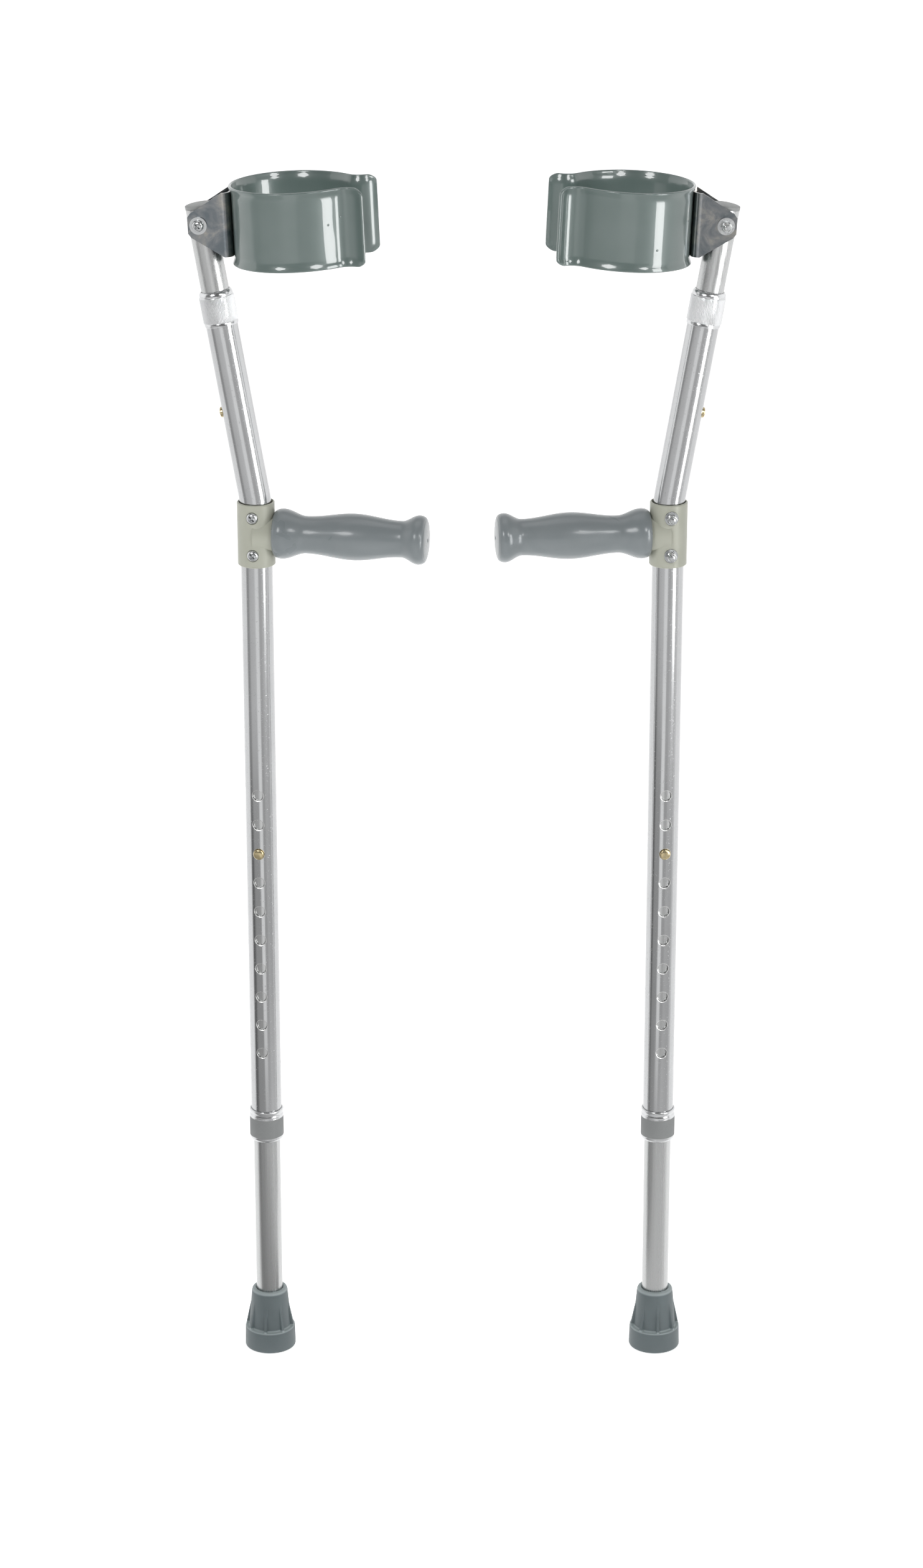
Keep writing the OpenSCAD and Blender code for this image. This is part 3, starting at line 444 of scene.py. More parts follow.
# The deburring tool leaves each edge bright, with fine marks that spread a highlight
burnished_edge, tree = new_material("burnished_hole_edge")
at = add(tree, "ShaderNodeTexCoord")
rubs = add(tree, "ShaderNodeTexNoise", {"Scale": 1 / 0.001, "Detail": 2.0}, {0: at.outputs["Object"]})
gloss = add(tree, "ShaderNodeMapRange", {3: 0.22, 4: 0.38}, {0: rubs.outputs[0]})
metal = add(tree, "ShaderNodeBsdfPrincipled", {"Metallic": 1.0, "Base Color": colour("#f1f1f0")},
            {"Roughness": gloss.outputs[0]})
add(tree, "ShaderNodeOutputMaterial", links={0: metal.outputs[0]})


def paint_bore_pale(tube, within, top):
    """Gives a tube's bore, within a radius and up to a height, the matt near-white of the painted light."""
    tube.data.materials.append(bore_painted_pale)
    for face in tube.data.polygons:
        if face.center.z < top * MM and face.center.xy.length < within * MM:
            face.material_index = len(tube.data.materials) - 1


# Across the deburred edge of a hole, from the tube's skin round into the hole: (radius, depth)
rim_section = [(4.95, -0.01), (4.86, 0.01), (4.72, 0.08), (4.58, 0.17), (4.49, 0.27), (4.45, 0.45), (4.44, 0.7),
               (4.44, 1.22), (4.95, 1.22)]
rim_steps = 40
for side in SIDES:
    made = drawn_tube(f"{side}_main_tube_drawn", main_path, main_r, main_bore_r, anodised)
    shaped("drilled_row", made, Count=hole_count, First=(0, 0, top_hole * MM), Pitch=(0, 0, -hole_pitch * MM),
           Turn=(quarter, 0, 0), Radius=rim_seat_r * MM, Reach=through)
    shaped("drilled_row", made, Count=2, First=(0, 0, screw_heights[0] * MM),
           Pitch=(0, 0, screw_rise * MM), Turn=(quarter, 0, 0), Radius=screw_hole_r * MM, Reach=through)
    shaped("drilled_row", made, Count=forearm_holes,
           First=(bend_end + lean_turn @ Vector((0, 0, forearm_hole))) * MM,
           Pitch=lean_turn @ Vector((0, 0, hole_pitch * MM)),
           Turn=(0, math.radians(-90 - lean), 0), Radius=hole_r * MM, Reach=one_wall, Skip=one_wall / 2)
    paint_bore_pale(made, main_r - 0.5, bend_from)
    made.data.set_sharp_from_angle(angle=sharp_edge)
    made.data.transform(CRUTCH[side])
    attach(made, f"{side}_frame")
    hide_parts(f"{side}_main_tube")

    points, faces = [], []
    for front in (-1, 1):
        first = len(points)
        for r, depth in rim_section:
            for j in range(rim_steps):
                a = 2 * math.pi * j / rim_steps
                x = r * math.cos(a)
                points.append((x, front * math.sqrt((main_r - depth) ** 2 - x * x), r * math.sin(a)))
        for face in rings_to_faces(len(rim_section), rim_steps):
            corners = [first + corner for corner in face]
            faces.append(corners if front > 0 else corners[::-1])
    made = outwards(new_mesh(f"{side}_hole_rims_deburred", points, faces, burnished_edge, 60))
    shaped("set_in_a_row", made, Count=hole_count, First=(0, 0, lowest_hole * MM),
           Pitch=(0, 0, hole_pitch * MM), Finish=burnished_edge)
    made.data.transform(CRUTCH[side])
    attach(made, f"{side}_frame")
    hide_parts(f"{side}_main_tube")


# ---- Leg tubes and forearm tubes ----
# The 22.2 mm tubes that slide in the main tube: the same aluminium, anodised a shade duller and
# rubbed along its length where it runs through the bushing.
satin_anodised, tree = new_material("satin_anodised_aluminium")
at = add(tree, "ShaderNodeTexCoord")
drawn = add(tree, "ShaderNodeMapping", {"Scale": (1 / 0.0009, 1 / 0.0009, 1 / 0.18)}, {0: at.outputs["Object"]})
lines = add(tree, "ShaderNodeTexNoise", {"Scale": 1.0, "Detail": 4.0, "Roughness": 0.65}, {0: drawn.outputs[0]})
gloss = add(tree, "ShaderNodeMapRange", {1: 0.3, 2: 0.7, 3: 0.2, 4: 0.34}, {0: lines.outputs[0]})
tone = add(tree, "ShaderNodeMix", {"data_type": "RGBA", 6: colour("#b4b5b5"), 7: colour("#c6c7c7")},
           {0: lines.outputs[0]})
relief = add(tree, "ShaderNodeBump", {"Strength": 0.15, "Distance": 0.00002}, {"Height": lines.outputs[0]})
metal = add(tree, "ShaderNodeBsdfPrincipled", {"Metallic": 1.0}, {
    "Base Color": tone.outputs[2], "Roughness": gloss.outputs[0], "Normal": relief.outputs[0]})
add(tree, "ShaderNodeOutputMaterial", links={0: metal.outputs[0]})

# The photograph shows the leg tube behind every height hole, so it reaches past the top one
leg_foot, leg_top = 11.6, 514.0
forearm_foot, forearm_top, pivot_along, pivot_hole_r = 41, 233, 221, 2.55
for side in SIDES:
    path = [(Vector((0, 0, z)), straight) for z in (leg_foot, 130, 250, 365, leg_top)]
    made = drawn_tube(f"{side}_leg_tube_drawn", path, inner_r, inner_bore_r, satin_anodised)
    shaped("drilled_row", made, Count=1, First=(0, 0, button_height * MM), Turn=(quarter, 0, 0),
           Radius=hole_r * MM, Reach=through)
    paint_bore_pale(made, inner_r - 0.2, leg_top - 0.5)
    made.data.set_sharp_from_angle(angle=sharp_edge)
    made.data.transform(CRUTCH[side])
    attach(made, f"{side}_leg")
    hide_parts(f"{side}_leg_tube")

    path = [(Vector((0, 0, s - pivot_along)), straight) for s in (forearm_foot, 90, 150, 190, forearm_top)]
    made = drawn_tube(f"{side}_forearm_tube_drawn", path, inner_r, inner_bore_r, satin_anodised)
    shaped("drilled_row", made, Count=1, First=(0, 0, (forearm_hole - pivot_along) * MM),
           Turn=(0, -quarter, 0), Radius=hole_r * MM, Reach=one_wall, Skip=one_wall / 2)
    shaped("drilled_row", made, Count=1, First=(0, 0, 0), Turn=(quarter, 0, 0),
           Radius=pivot_hole_r * MM, Reach=through)
    made.data.set_sharp_from_angle(angle=sharp_edge)
    made.data.transform(FOREARM[side])
    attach(made, f"{side}_forearm")
    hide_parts(f"{side}_forearm_tube")


# ---- Snap buttons and clips ----
# Each button is a plated steel stud with a low dome, riveted to a bent strip of spring steel
# that presses it out through the holes of both tubes. Its chromate plating is a pale gold.
button_plate, tree = new_material("yellow_chromate_plate")
at = add(tree, "ShaderNodeTexCoord")
specks = add(tree, "ShaderNodeTexNoise", {"Scale": 1 / 0.002, "Detail": 3.0}, {0: at.outputs["Object"]})
tone = add(tree, "ShaderNodeMix", {"data_type": "RGBA", 6: colour("#b5a47c"), 7: colour("#d8caa6")},
           {0: specks.outputs[0]})
gloss = add(tree, "ShaderNodeMapRange", {3: 0.18, 4: 0.34}, {0: specks.outputs[0]})
metal = add(tree, "ShaderNodeBsdfPrincipled", {"Metallic": 1.0}, {
    "Base Color": tone.outputs[2], "Roughness": gloss.outputs[0]})
add(tree, "ShaderNodeOutputMaterial", links={0: metal.outputs[0]})

# Blueing is a thin even oxide: darker than bare steel, and still a clear metal
spring_steel, tree = new_material("blued_spring_steel")
at = add(tree, "ShaderNodeTexCoord")
rolled = add(tree, "ShaderNodeTexNoise", {"Scale": 1 / 0.004, "Detail": 2.0}, {0: at.outputs["Object"]})
tone = add(tree, "ShaderNodeMix", {"data_type": "RGBA", 6: colour("#5c5f66"), 7: colour("#7d7f84")},
           {0: rolled.outputs[0]})
metal = add(tree, "ShaderNodeBsdfPrincipled", {"Metallic": 1.0, "Roughness": 0.32},
            {"Base Color": tone.outputs[2]})
add(tree, "ShaderNodeOutputMaterial", links={0: metal.outputs[0]})


def finish_nodes(material, *names):
    """Gives solids that keep their CAD shape their real finish, on both crutches."""
    for side in SIDES:
        for name in names:
            mesh = frame["nodes"][f"{side}_{name}"].data
            mesh.materials.clear()
            mesh.materials.append(material)


finish_nodes(button_plate, "leg_button_front", "leg_button_rear", "forearm_button")
finish_nodes(spring_steel, "leg_clip_spring", "forearm_clip_spring")


# ---- Bushings and friction washers ----
# Split collets of natural nylon that the lock collars squeeze onto the inner tubes, and two thin
# nylon washers between the cuff's bracket and its tube. Moulded, milky and slightly waxy.
nylon, tree = new_material("natural_nylon")
at = add(tree, "ShaderNodeTexCoord")
milk = add(tree, "ShaderNodeTexNoise", {"Scale": 1 / 0.006, "Detail": 1.0}, {0: at.outputs["Object"]})
tone = add(tree, "ShaderNodeMix", {"data_type": "RGBA", 6: colour("#dcdcd2"), 7: colour("#ecece6")},
           {0: milk.outputs[0]})
body = add(tree, "ShaderNodeBsdfPrincipled", {
    "Roughness": 0.38, "IOR": 1.53, "Subsurface Weight": 0.1, "Subsurface Scale": 0.001}, {
    "Base Color": tone.outputs[2]})
add(tree, "ShaderNodeOutputMaterial", links={0: body.outputs[0]})
finish_nodes(nylon, "leg_bushing", "forearm_bushing", "pivot_spacers")


# ---- Lock collars ----
# Turned aluminium. The lower one is smooth, with a bead and a groove above its plain band; the
# upper one has a plain ferrule, a band of fine serrations for the fingers and a rounded nose.

# The tool's fine feed marks run round the collar and spread each highlight along it
turned_metal, tree = new_material("turned_aluminium")
at = add(tree, "ShaderNodeTexCoord")
turning = add(tree, "ShaderNodeMapping", {"Scale": (1 / 0.02, 1 / 0.02, 1 / 0.0004)},
              {0: at.outputs["Object"]})
marks = add(tree, "ShaderNodeTexNoise", {"Scale": 1.0, "Detail": 2.0}, {0: turning.outputs[0]})
gloss = add(tree, "ShaderNodeMapRange", {1: 0.3, 2: 0.7, 3: 0.16, 4: 0.28}, {0: marks.outputs[0]})
metal = add(tree, "ShaderNodeBsdfPrincipled", {"Metallic": 1.0, "Base Color": colour("#cfd0d1")},
            {"Roughness": gloss.outputs[0]})
add(tree, "ShaderNodeOutputMaterial", links={0: metal.outputs[0]})

# Knurling too fine for the picture scatters the light: bright, even and dull
knurled_metal, tree = new_material("finely_knurled_aluminium")
at = add(tree, "ShaderNodeTexCoord")
teeth = add(tree, "ShaderNodeTexNoise", {"Scale": 1 / 0.0008, "Detail": 1.0}, {0: at.outputs["Object"]})
tone = add(tree, "ShaderNodeMix", {"data_type": "RGBA", 6: colour("#d6d7d8"), 7: colour("#e8e9ea")},
           {0: teeth.outputs[0]})
metal = add(tree, "ShaderNodeBsdfPrincipled", {"Metallic": 1.0, "Roughness": 0.42},
            {"Base Color": tone.outputs[2]})
add(tree, "ShaderNodeOutputMaterial", links={0: metal.outputs[0]})

# The lower collar's finger band is blasted and dyed grey, so that it mirrors nothing
blasted_band, tree = new_material("blasted_grey_band")
at = add(tree, "ShaderNodeTexCoord")
grit = add(tree, "ShaderNodeTexNoise", {"Scale": 1 / 0.0007, "Detail": 2.0}, {0: at.outputs["Object"]})
tone = add(tree, "ShaderNodeMix", {"data_type": "RGBA", 6: colour("#818383"), 7: colour("#8d8f8f")},
           {0: grit.outputs[0]})
relief = add(tree, "ShaderNodeBump", {"Strength": 0.4, "Distance": 0.00005}, {"Height": grit.outputs[0]})
metal = add(tree, "ShaderNodeBsdfPrincipled", {"Metallic": 0.25, "Roughness": 0.6, "Specular IOR Level": 0.3}, {
    "Base Color": tone.outputs[2], "Normal": relief.outputs[0]})
add(tree, "ShaderNodeOutputMaterial", links={0: metal.outputs[0]})


def turned(name, stations, material, steps=96, sharp=40, radius_at=None):
    """A closed surface of revolution about Z from (radius, height) stations, in its own frame.
    A radius of 0 is a single point. Where a radius varies round the piece, radius_at gives it
    from the share of the turn, the station's radius and its height."""
    points, rows, faces = [], [], []
    for r, z in stations:
        if r == 0:
            rows.append([len(points)] * steps)
            points.append((0, 0, z))
            continue
        rows.append(range(len(points), len(points) + steps))
        for j in range(steps):
            here, a = (radius_at(j / steps, r, z) if radius_at else r), 2 * math.pi * j / steps
            points.append((here * math.cos(a), here * math.sin(a), z))
    for one, two in zip(rows, rows[1:] + rows[:1]):
        for j in range(steps):
            k = (j + 1) % steps
            face = list(dict.fromkeys((one[j], one[k], two[k], two[j])))
            if len(face) > 2:
                faces.append(face)
    return outwards(new_mesh(name, points, faces, material, sharp))


# Ribs laid round a band: one ridge on each point of a circle, turned to face outwards
ribbed, given, result = new_tree("ridges_round_a_band", [
    ("Count", "Int"), ("Band Radius", "Float"), ("Ridge Radius", "Float"), ("Length", "Float"),
    ("Middle", "Float"), ("Finish", "Material")])
circle = add(ribbed, "GeometryNodeMeshCircle", links={
    "Vertices": given["Count"], "Radius": given["Band Radius"]})
ridge = add(ribbed, "GeometryNodeMeshCylinder", {"Vertices": 6}, {
    "Radius": given["Ridge Radius"], "Depth": given["Length"]})
placed = add(ribbed, "GeometryNodeInstanceOnPoints", links={
    "Points": circle.outputs[0], "Instance": ridge.outputs[0]})
real = add(ribbed, "GeometryNodeRealizeInstances", links={0: placed.outputs[0]})
middle = add(ribbed, "ShaderNodeCombineXYZ", links={"Z": given["Middle"]})
lifted = add(ribbed, "GeometryNodeTransform", links={
    "Geometry": real.outputs[0], "Translation": middle.outputs[0]})
painted = add(ribbed, "GeometryNodeSetMaterial", links={0: lifted.outputs[0], "Material": given["Finish"]})
both = add(ribbed, "GeometryNodeJoinGeometry")
ribbed.links.new(given["Geometry"], both.inputs[0])
ribbed.links.new(painted.outputs[0], both.inputs[0])
ribbed.links.new(both.outputs[0], result[0])

lower_collar = [
    (12.75, 200.5), (12.75, 222.1), (13.05, 222.4), (13.6, 222.35), (14.05, 221.9), (14.2, 221.1), (14.1, 220.1),
    (13.8, 219.1), (13.6, 218.6), (13.7, 218.1), (14.05, 217.5), (14.2, 216.8), (14.1, 216.2), (14.0, 215.9),
    (14.1, 215.6), (14.2, 215.0), (14.2, 206.0), (14.2, 198.2), (14.05, 197.8), (14.0, 197.4), (14.1, 197.0),
    (13.95, 196.1), (13.4, 195.0), (12.6, 194.25), (12.2, 194.1), (11.5, 194.1), (11.4, 194.3), (11.4, 196.8),
    (12.1, 197.2)]
upper_collar = [
    (12.75, 160.5), (12.75, 138.9), (12.9, 138.8), (13.3, 138.8), (13.5, 139.0), (13.5, 141.4), (13.35, 141.7),
    (13.45, 141.9), (13.65, 142.2), (13.65, 162.0), (13.5, 162.3), (13.4, 162.4), (13.45, 163.2), (13.3, 164.4),
    (12.9, 165.6), (12.3, 166.5), (11.8, 166.9), (11.5, 166.9), (11.4, 166.8), (11.4, 164.2), (12.1, 163.8)]
finger_band, collar_band_r = (198.2, 215.0), 14.0
serrations, serrated_r, serration_r, serrated_length, serrated_middle = 80, 13.5, 0.5, 20.0, 152.05
for side in SIDES:
    made = turned(f"{side}_lower_collar_turned", lower_collar, turned_metal)
    made.data.materials.append(blasted_band)
    for face in made.data.polygons:
        if finger_band[0] < face.center.z / MM < finger_band[1] and face.center.xy.length > collar_band_r * MM:
            face.material_index = 1
    made.data.transform(CRUTCH[side])
    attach(made, f"{side}_lower_collar")
    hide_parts(f"{side}_leg_lock_collar")
    made = turned(f"{side}_upper_collar_turned", [(r, s - pivot_along) for r, s in upper_collar], turned_metal)
    shaped("ridges_round_a_band", made, Count=serrations, Band_Radius=serrated_r * MM,
           Ridge_Radius=serration_r * MM, Length=serrated_length * MM,
           Middle=(serrated_middle - pivot_along) * MM, Finish=knurled_metal)
    made.data.transform(FOREARM[side])
    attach(made, f"{side}_upper_collar")
    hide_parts(f"{side}_forearm_lock_collar")


# ---- Rubber tips ----
# Grey moulded rubber: a smooth base band with a ledge, a cone stiffened by eight thin ribs and a
# rounded mouth that grips the tube. The tread under it has two rings.

# Rubber looks dull and even, with a soft bloom and fine moulding grain of about half a millimetre
tip_rubber, tree = new_material("moulded_grey_rubber")
at = add(tree, "ShaderNodeTexCoord")
bloom = add(tree, "ShaderNodeTexNoise", {"Scale": 1 / 0.012, "Detail": 3.0, "Roughness": 0.6},
            {0: at.outputs["Object"]})
grain = add(tree, "ShaderNodeTexNoise", {"Scale": 1 / 0.0006, "Detail": 1.0}, {0: at.outputs["Object"]})
tone = add(tree, "ShaderNodeMix", {"data_type": "RGBA", 6: colour("#566163"), 7: colour("#626d70")},
           {0: bloom.outputs[0]})
# Painted highlight: the ledge, which faces up, and the rounded mouth are painted paler where the light catches
# them: how pale, at each height in millimetres
painted_highlight_at, painted_highlight_span = [(17.2, 0.0), (18.1, 1.0), (19.2, 1.0), (20.2, 0.0), (51.0, 0.0), (52.4, 1.0)], 60
height = add(tree, "ShaderNodeSeparateXYZ", links={0: at.outputs["Object"]})
share = add(tree, "ShaderNodeMath", {"operation": "DIVIDE", 1: painted_highlight_span * MM}, {0: height.outputs["Z"]})
painted_highlight = add(tree, "ShaderNodeValToRGB", links={0: share.outputs[0]})
for i, (z, pale) in enumerate(painted_highlight_at):
    place = z / painted_highlight_span
    stop = painted_highlight.color_ramp.elements[i] if i < 2 else painted_highlight.color_ramp.elements.new(place)
    stop.position, stop.color = place, (pale, pale, pale, 1)
# The pale grey of the painted highlight, mixed over the rubber's own tone
tone = add(tree, "ShaderNodeMix", {"data_type": "RGBA", 7: colour("#98a3a4")},
           {0: painted_highlight.outputs[0], 6: tone.outputs[2]})
gloss = add(tree, "ShaderNodeMapRange", {1: 0.3, 2: 0.7, 3: 0.42, 4: 0.58}, {0: bloom.outputs[0]})
relief = add(tree, "ShaderNodeBump", {"Strength": 0.25, "Distance": 0.00004}, {"Height": grain.outputs[0]})
body = add(tree, "ShaderNodeBsdfPrincipled", {"IOR": 1.52, "Sheen Weight": 0.08, "Sheen Roughness": 0.4}, {
    "Base Color": tone.outputs[2], "Roughness": gloss.outputs[0], "Normal": relief.outputs[0]})
add(tree, "ShaderNodeOutputMaterial", links={0: body.outputs[0]})

tip_base_r, tip_band, tip_bore_r, tip_floor = 21.5, 18.5, 11.15, 10
rib_total, rib_half_deg, rib_foot_r, rib_head_r, rib_top = 8, 4.4, 20.7, 15.5, 44
rib_foot_share, rib_flank_share = 1.1, 0.4  # of its half width: where its foot ends, how wide a flank is
cone_foot_r, cone_foot, cone_fall, cone_rise = 17.85, 19.8, 2.65, 31.2
tip_side = [(tip_base_r, 1.0), (tip_base_r, 2.2), (tip_base_r - 0.1, 6), (tip_base_r - 0.25, 12),
            (tip_base_r - 0.36, 16.8), (tip_base_r - 0.5, 17.7), (tip_base_r - 0.85, 18.25),
            (tip_base_r - 1.4, 18.5)]
tip_side += [(19.3, 18.55), (18.5, 18.7), (18.05, 19.1), (cone_foot_r, cone_foot)]
tip_side += [(cone_foot_r - cone_fall * (z - cone_foot) / cone_rise, z) for z in np.linspace(22, 50.2, 15)]
tip_side += [(15.15, 51.2), (14.95, 52.2), (14.5, 53.1), (13.8, 53.7), (13.0, 53.95), (12.4, 54.0),
             (11.8, 53.85), (11.35, 53.4), (tip_bore_r, 52.6)]
tip_inside = [(tip_bore_r, 30), (tip_bore_r, tip_floor), (0, tip_floor)]
tip_tread = [(0, 0), (6.45, 0), (6.45, 1.5), (8.95, 1.5), (8.95, 0), (13.33, 0), (13.33, 1.5), (15.83, 1.5),
             (15.83, 0), (20.5, 0), (21.2, 0.3)]


def ribbed_r(turn, r, z):
    """The tip's radius at a share of the turn: each rib has a rounded back and a filleted foot."""
    pitch = 360 / rib_total
    off = abs((360 * turn - 90 + pitch / 2) % pitch - pitch / 2)
    crest = rib_foot_r + (rib_head_r - rib_foot_r) * (z - tip_band) / (rib_top - tip_band)
    if not (tip_band < z < rib_top and tip_bore_r < r < crest):
        return r
    flank = (rib_half_deg * rib_foot_share - off) / (rib_half_deg * rib_flank_share)
    across = min(1.0, max(0.0, flank))
    return r + (crest - r) * across * across * (3 - 2 * across)


for side in SIDES:
    made = turned(f"{side}_tip_moulded", tip_tread + tip_side + tip_inside, tip_rubber, steps=384, sharp=50,
                  radius_at=ribbed_r)
    made.data.transform(CRUTCH[side])
    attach(made, f"{side}_leg")
    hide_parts(f"{side}_rubber_tip")


# ---- Tip washers, screws, nuts and clevises: zinc plate ----
# Small steel hardware, stamped or cold-headed, then bright zinc-plated and passivated. The
# passivation leaves a faint blue-grey cloud.
zinc, tree = new_material("bright_zinc_plate")
at = add(tree, "ShaderNodeTexCoord")
cloud = add(tree, "ShaderNodeTexNoise", {"Scale": 1 / 0.005, "Detail": 4.0, "Roughness": 0.6},
            {0: at.outputs["Object"]})
tone = add(tree, "ShaderNodeMix", {"data_type": "RGBA", 6: colour("#b4b7ba"), 7: colour("#d6d7d6")},
           {0: cloud.outputs[0]})
gloss = add(tree, "ShaderNodeMapRange", {1: 0.3, 2: 0.7, 3: 0.17, 4: 0.32}, {0: cloud.outputs[0]})
metal = add(tree, "ShaderNodeBsdfPrincipled", {"Metallic": 1.0}, {
    "Base Color": tone.outputs[2], "Roughness": gloss.outputs[0]})
add(tree, "ShaderNodeOutputMaterial", links={0: metal.outputs[0]})
finish_nodes(zinc, "tip_washer", "bracket_washers", "pivot_washers")


# ---- Handle brackets ----
# A steel sleeve with a pressed neck, painted a warm grey in one coat. The paint pulls thin on the
# rims and lies a little uneven, which breaks up its satin highlights.
bracket_paint, tree = new_material("satin_grey_enamel")
at = add(tree, "ShaderNodeTexCoord")
peel = add(tree, "ShaderNodeTexNoise", {"Scale": 1 / 0.0016, "Detail": 2.0}, {0: at.outputs["Object"]})
drift = add(tree, "ShaderNodeTexNoise", {"Scale": 1 / 0.02, "Detail": 3.0}, {0: at.outputs["Object"]})
tone = add(tree, "ShaderNodeMix", {"data_type": "RGBA", 6: colour("#a8aa9c"), 7: colour("#b3b4a7")},
           {0: drift.outputs[0]})
gloss = add(tree, "ShaderNodeMapRange", {1: 0.3, 2: 0.7, 3: 0.3, 4: 0.42}, {0: drift.outputs[0]})
relief = add(tree, "ShaderNodeBump", {"Strength": 0.2, "Distance": 0.00003}, {"Height": peel.outputs[0]})
body = add(tree, "ShaderNodeBsdfPrincipled", {"IOR": 1.5}, {
    "Base Color": tone.outputs[2], "Roughness": gloss.outputs[0], "Normal": relief.outputs[0]})
add(tree, "ShaderNodeOutputMaterial", links={0: body.outputs[0]})

# The stub under the grip is left bare, darkened by the weld's heat scale
stub_steel, tree = new_material("bare_welded_steel")
at = add(tree, "ShaderNodeTexCoord")
scale_marks = add(tree, "ShaderNodeTexNoise", {"Scale": 1 / 0.004, "Detail": 5.0}, {0: at.outputs["Object"]})
tone = add(tree, "ShaderNodeMix", {"data_type": "RGBA", 6: colour("#6f6d6a"), 7: colour("#8e8b86")},
           {0: scale_marks.outputs[0]})
metal = add(tree, "ShaderNodeBsdfPrincipled", {"Metallic": 1.0, "Roughness": 0.45},
            {"Base Color": tone.outputs[2]})
add(tree, "ShaderNodeOutputMaterial", links={0: metal.outputs[0]})
finish_nodes(bracket_paint, "handle_bracket")
finish_nodes(stub_steel, "handle_core")


# ---- Hand grips ----
# One moulding of grey PVC, pushed over the stub: a rounded inner flange, two waists for the palm, an
# end flange and a domed end with a vent. The mould was polished, so the skin is smooth and glossy.
grip_vinyl, tree = new_material("polished_grey_pvc")
at = add(tree, "ShaderNodeTexCoord")
swirl = add(tree, "ShaderNodeTexNoise", {"Scale": 1 / 0.03, "Detail": 2.0, "Distortion": 1.5},
            {0: at.outputs["Object"]})
skin = add(tree, "ShaderNodeTexNoise", {"Scale": 1 / 0.0015, "Detail": 2.0}, {0: at.outputs["Object"]})
tone = add(tree, "ShaderNodeMix", {"data_type": "RGBA", 6: colour("#798083"), 7: colour("#82888a")},
           {0: swirl.outputs[0]})
gloss = add(tree, "ShaderNodeMapRange", {1: 0.3, 2: 0.7, 3: 0.26, 4: 0.36}, {0: swirl.outputs[0]})
relief = add(tree, "ShaderNodeBump", {"Strength": 0.12, "Distance": 0.00002}, {"Height": skin.outputs[0]})
body = add(tree, "ShaderNodeBsdfPrincipled", {
    "IOR": 1.53, "Specular IOR Level": 0.3, "Coat Weight": 0.45, "Coat Roughness": 0.12, "Coat IOR": 1.4}, {
    "Base Color": tone.outputs[2], "Roughness": gloss.outputs[0], "Normal": relief.outputs[0]})
add(tree, "ShaderNodeOutputMaterial", links={0: body.outputs[0]})

grip_from, grip_length, grip_end_wall, core_r, vent_r = 15.4, 124, 6, 9.55, 1.3
inner_flange_r, end_flange_r, flange_edge, round_in, flange_back, dome = 20.2, 19.7, 3.4, 6.6, 7, 1.4
grip_stops = [(grip_from + round_in, inner_flange_r), (grip_from + 0.21 * grip_length, 15.0),
              (grip_from + 0.52 * grip_length, 18.7), (grip_from + 0.83 * grip_length, 14.6),
              (grip_from + grip_length - flange_back, end_flange_r)]
face_r, end_r = inner_flange_r - flange_edge, end_flange_r - flange_edge
grip_side = [(face_r + flange_edge * math.sin(math.radians(a)),
              grip_from + round_in * (1 - math.cos(math.radians(a)))) for a in range(0, 90, 6)]
for (x0, r0), (x1, r1) in zip(grip_stops, grip_stops[1:]):
    grip_side += [(r0 + (r1 - r0) * (1 - math.cos(math.pi * t)) / 2, x0 + (x1 - x0) * t)
                  for t in np.linspace(0, 1, 20, endpoint=False)]
grip_side += [(end_r + flange_edge * math.sin(math.radians(a)),
               grip_stops[-1][0] + (flange_back - dome) * math.cos(math.radians(a))) for a in range(90, 0, -6)]
grip_side += [(end_r * math.cos(math.radians(a)),
               grip_from + grip_length - dome * (1 - math.sin(math.radians(a)))) for a in range(0, 84, 6)]
core_to = grip_from + grip_length - grip_end_wall
grip_side += [(vent_r + 0.25, grip_from + grip_length - 0.02), (vent_r, grip_from + grip_length - 0.3),
              (vent_r, core_to), (core_r, core_to), (core_r, grip_from + 0.4), (core_r + 0.4, grip_from)]
along_grip = Matrix.Translation((0, 0, grip_height * MM)) @ Matrix.Rotation(quarter, 4, "Y")
for side in SIDES:
    made = turned(f"{side}_grip_moulded", grip_side, grip_vinyl, steps=128, sharp=60)
    made.data.transform(CRUTCH[side] @ along_grip)
    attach(made, f"{side}_frame")
    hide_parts(f"{side}_hand_grip")


# ---- Screws ----
# M5 pan heads with a cross recess: two clamp the bracket through the main tube and one is the
# cuff's pivot. The threads are rolled and show where they stand out of the nuts.
screw_r, head_r, head_height, thread_pitch, thread_depth = 2.5, 4.7, 3.0, 0.8, 0.4
thread_length, thread_step, thread_proud, point_length, point_taper, screw_steps = 7.4, 0.1, 1.5, 0.6, 0.6, 48
# How far out the bracket's flat spots and the clevis's ears stand, which carry heads and nuts
spot_r, ear_out, washer_t, nut_height = 14.1, 13.75, 1.0, 5.0
recess_across, recess_width, recess_depth = 5.4, 1.25, 2.1
recess_top_share, recess_foot_share = 0.36, 0.74  # a blade's corner radii, as shares of Across

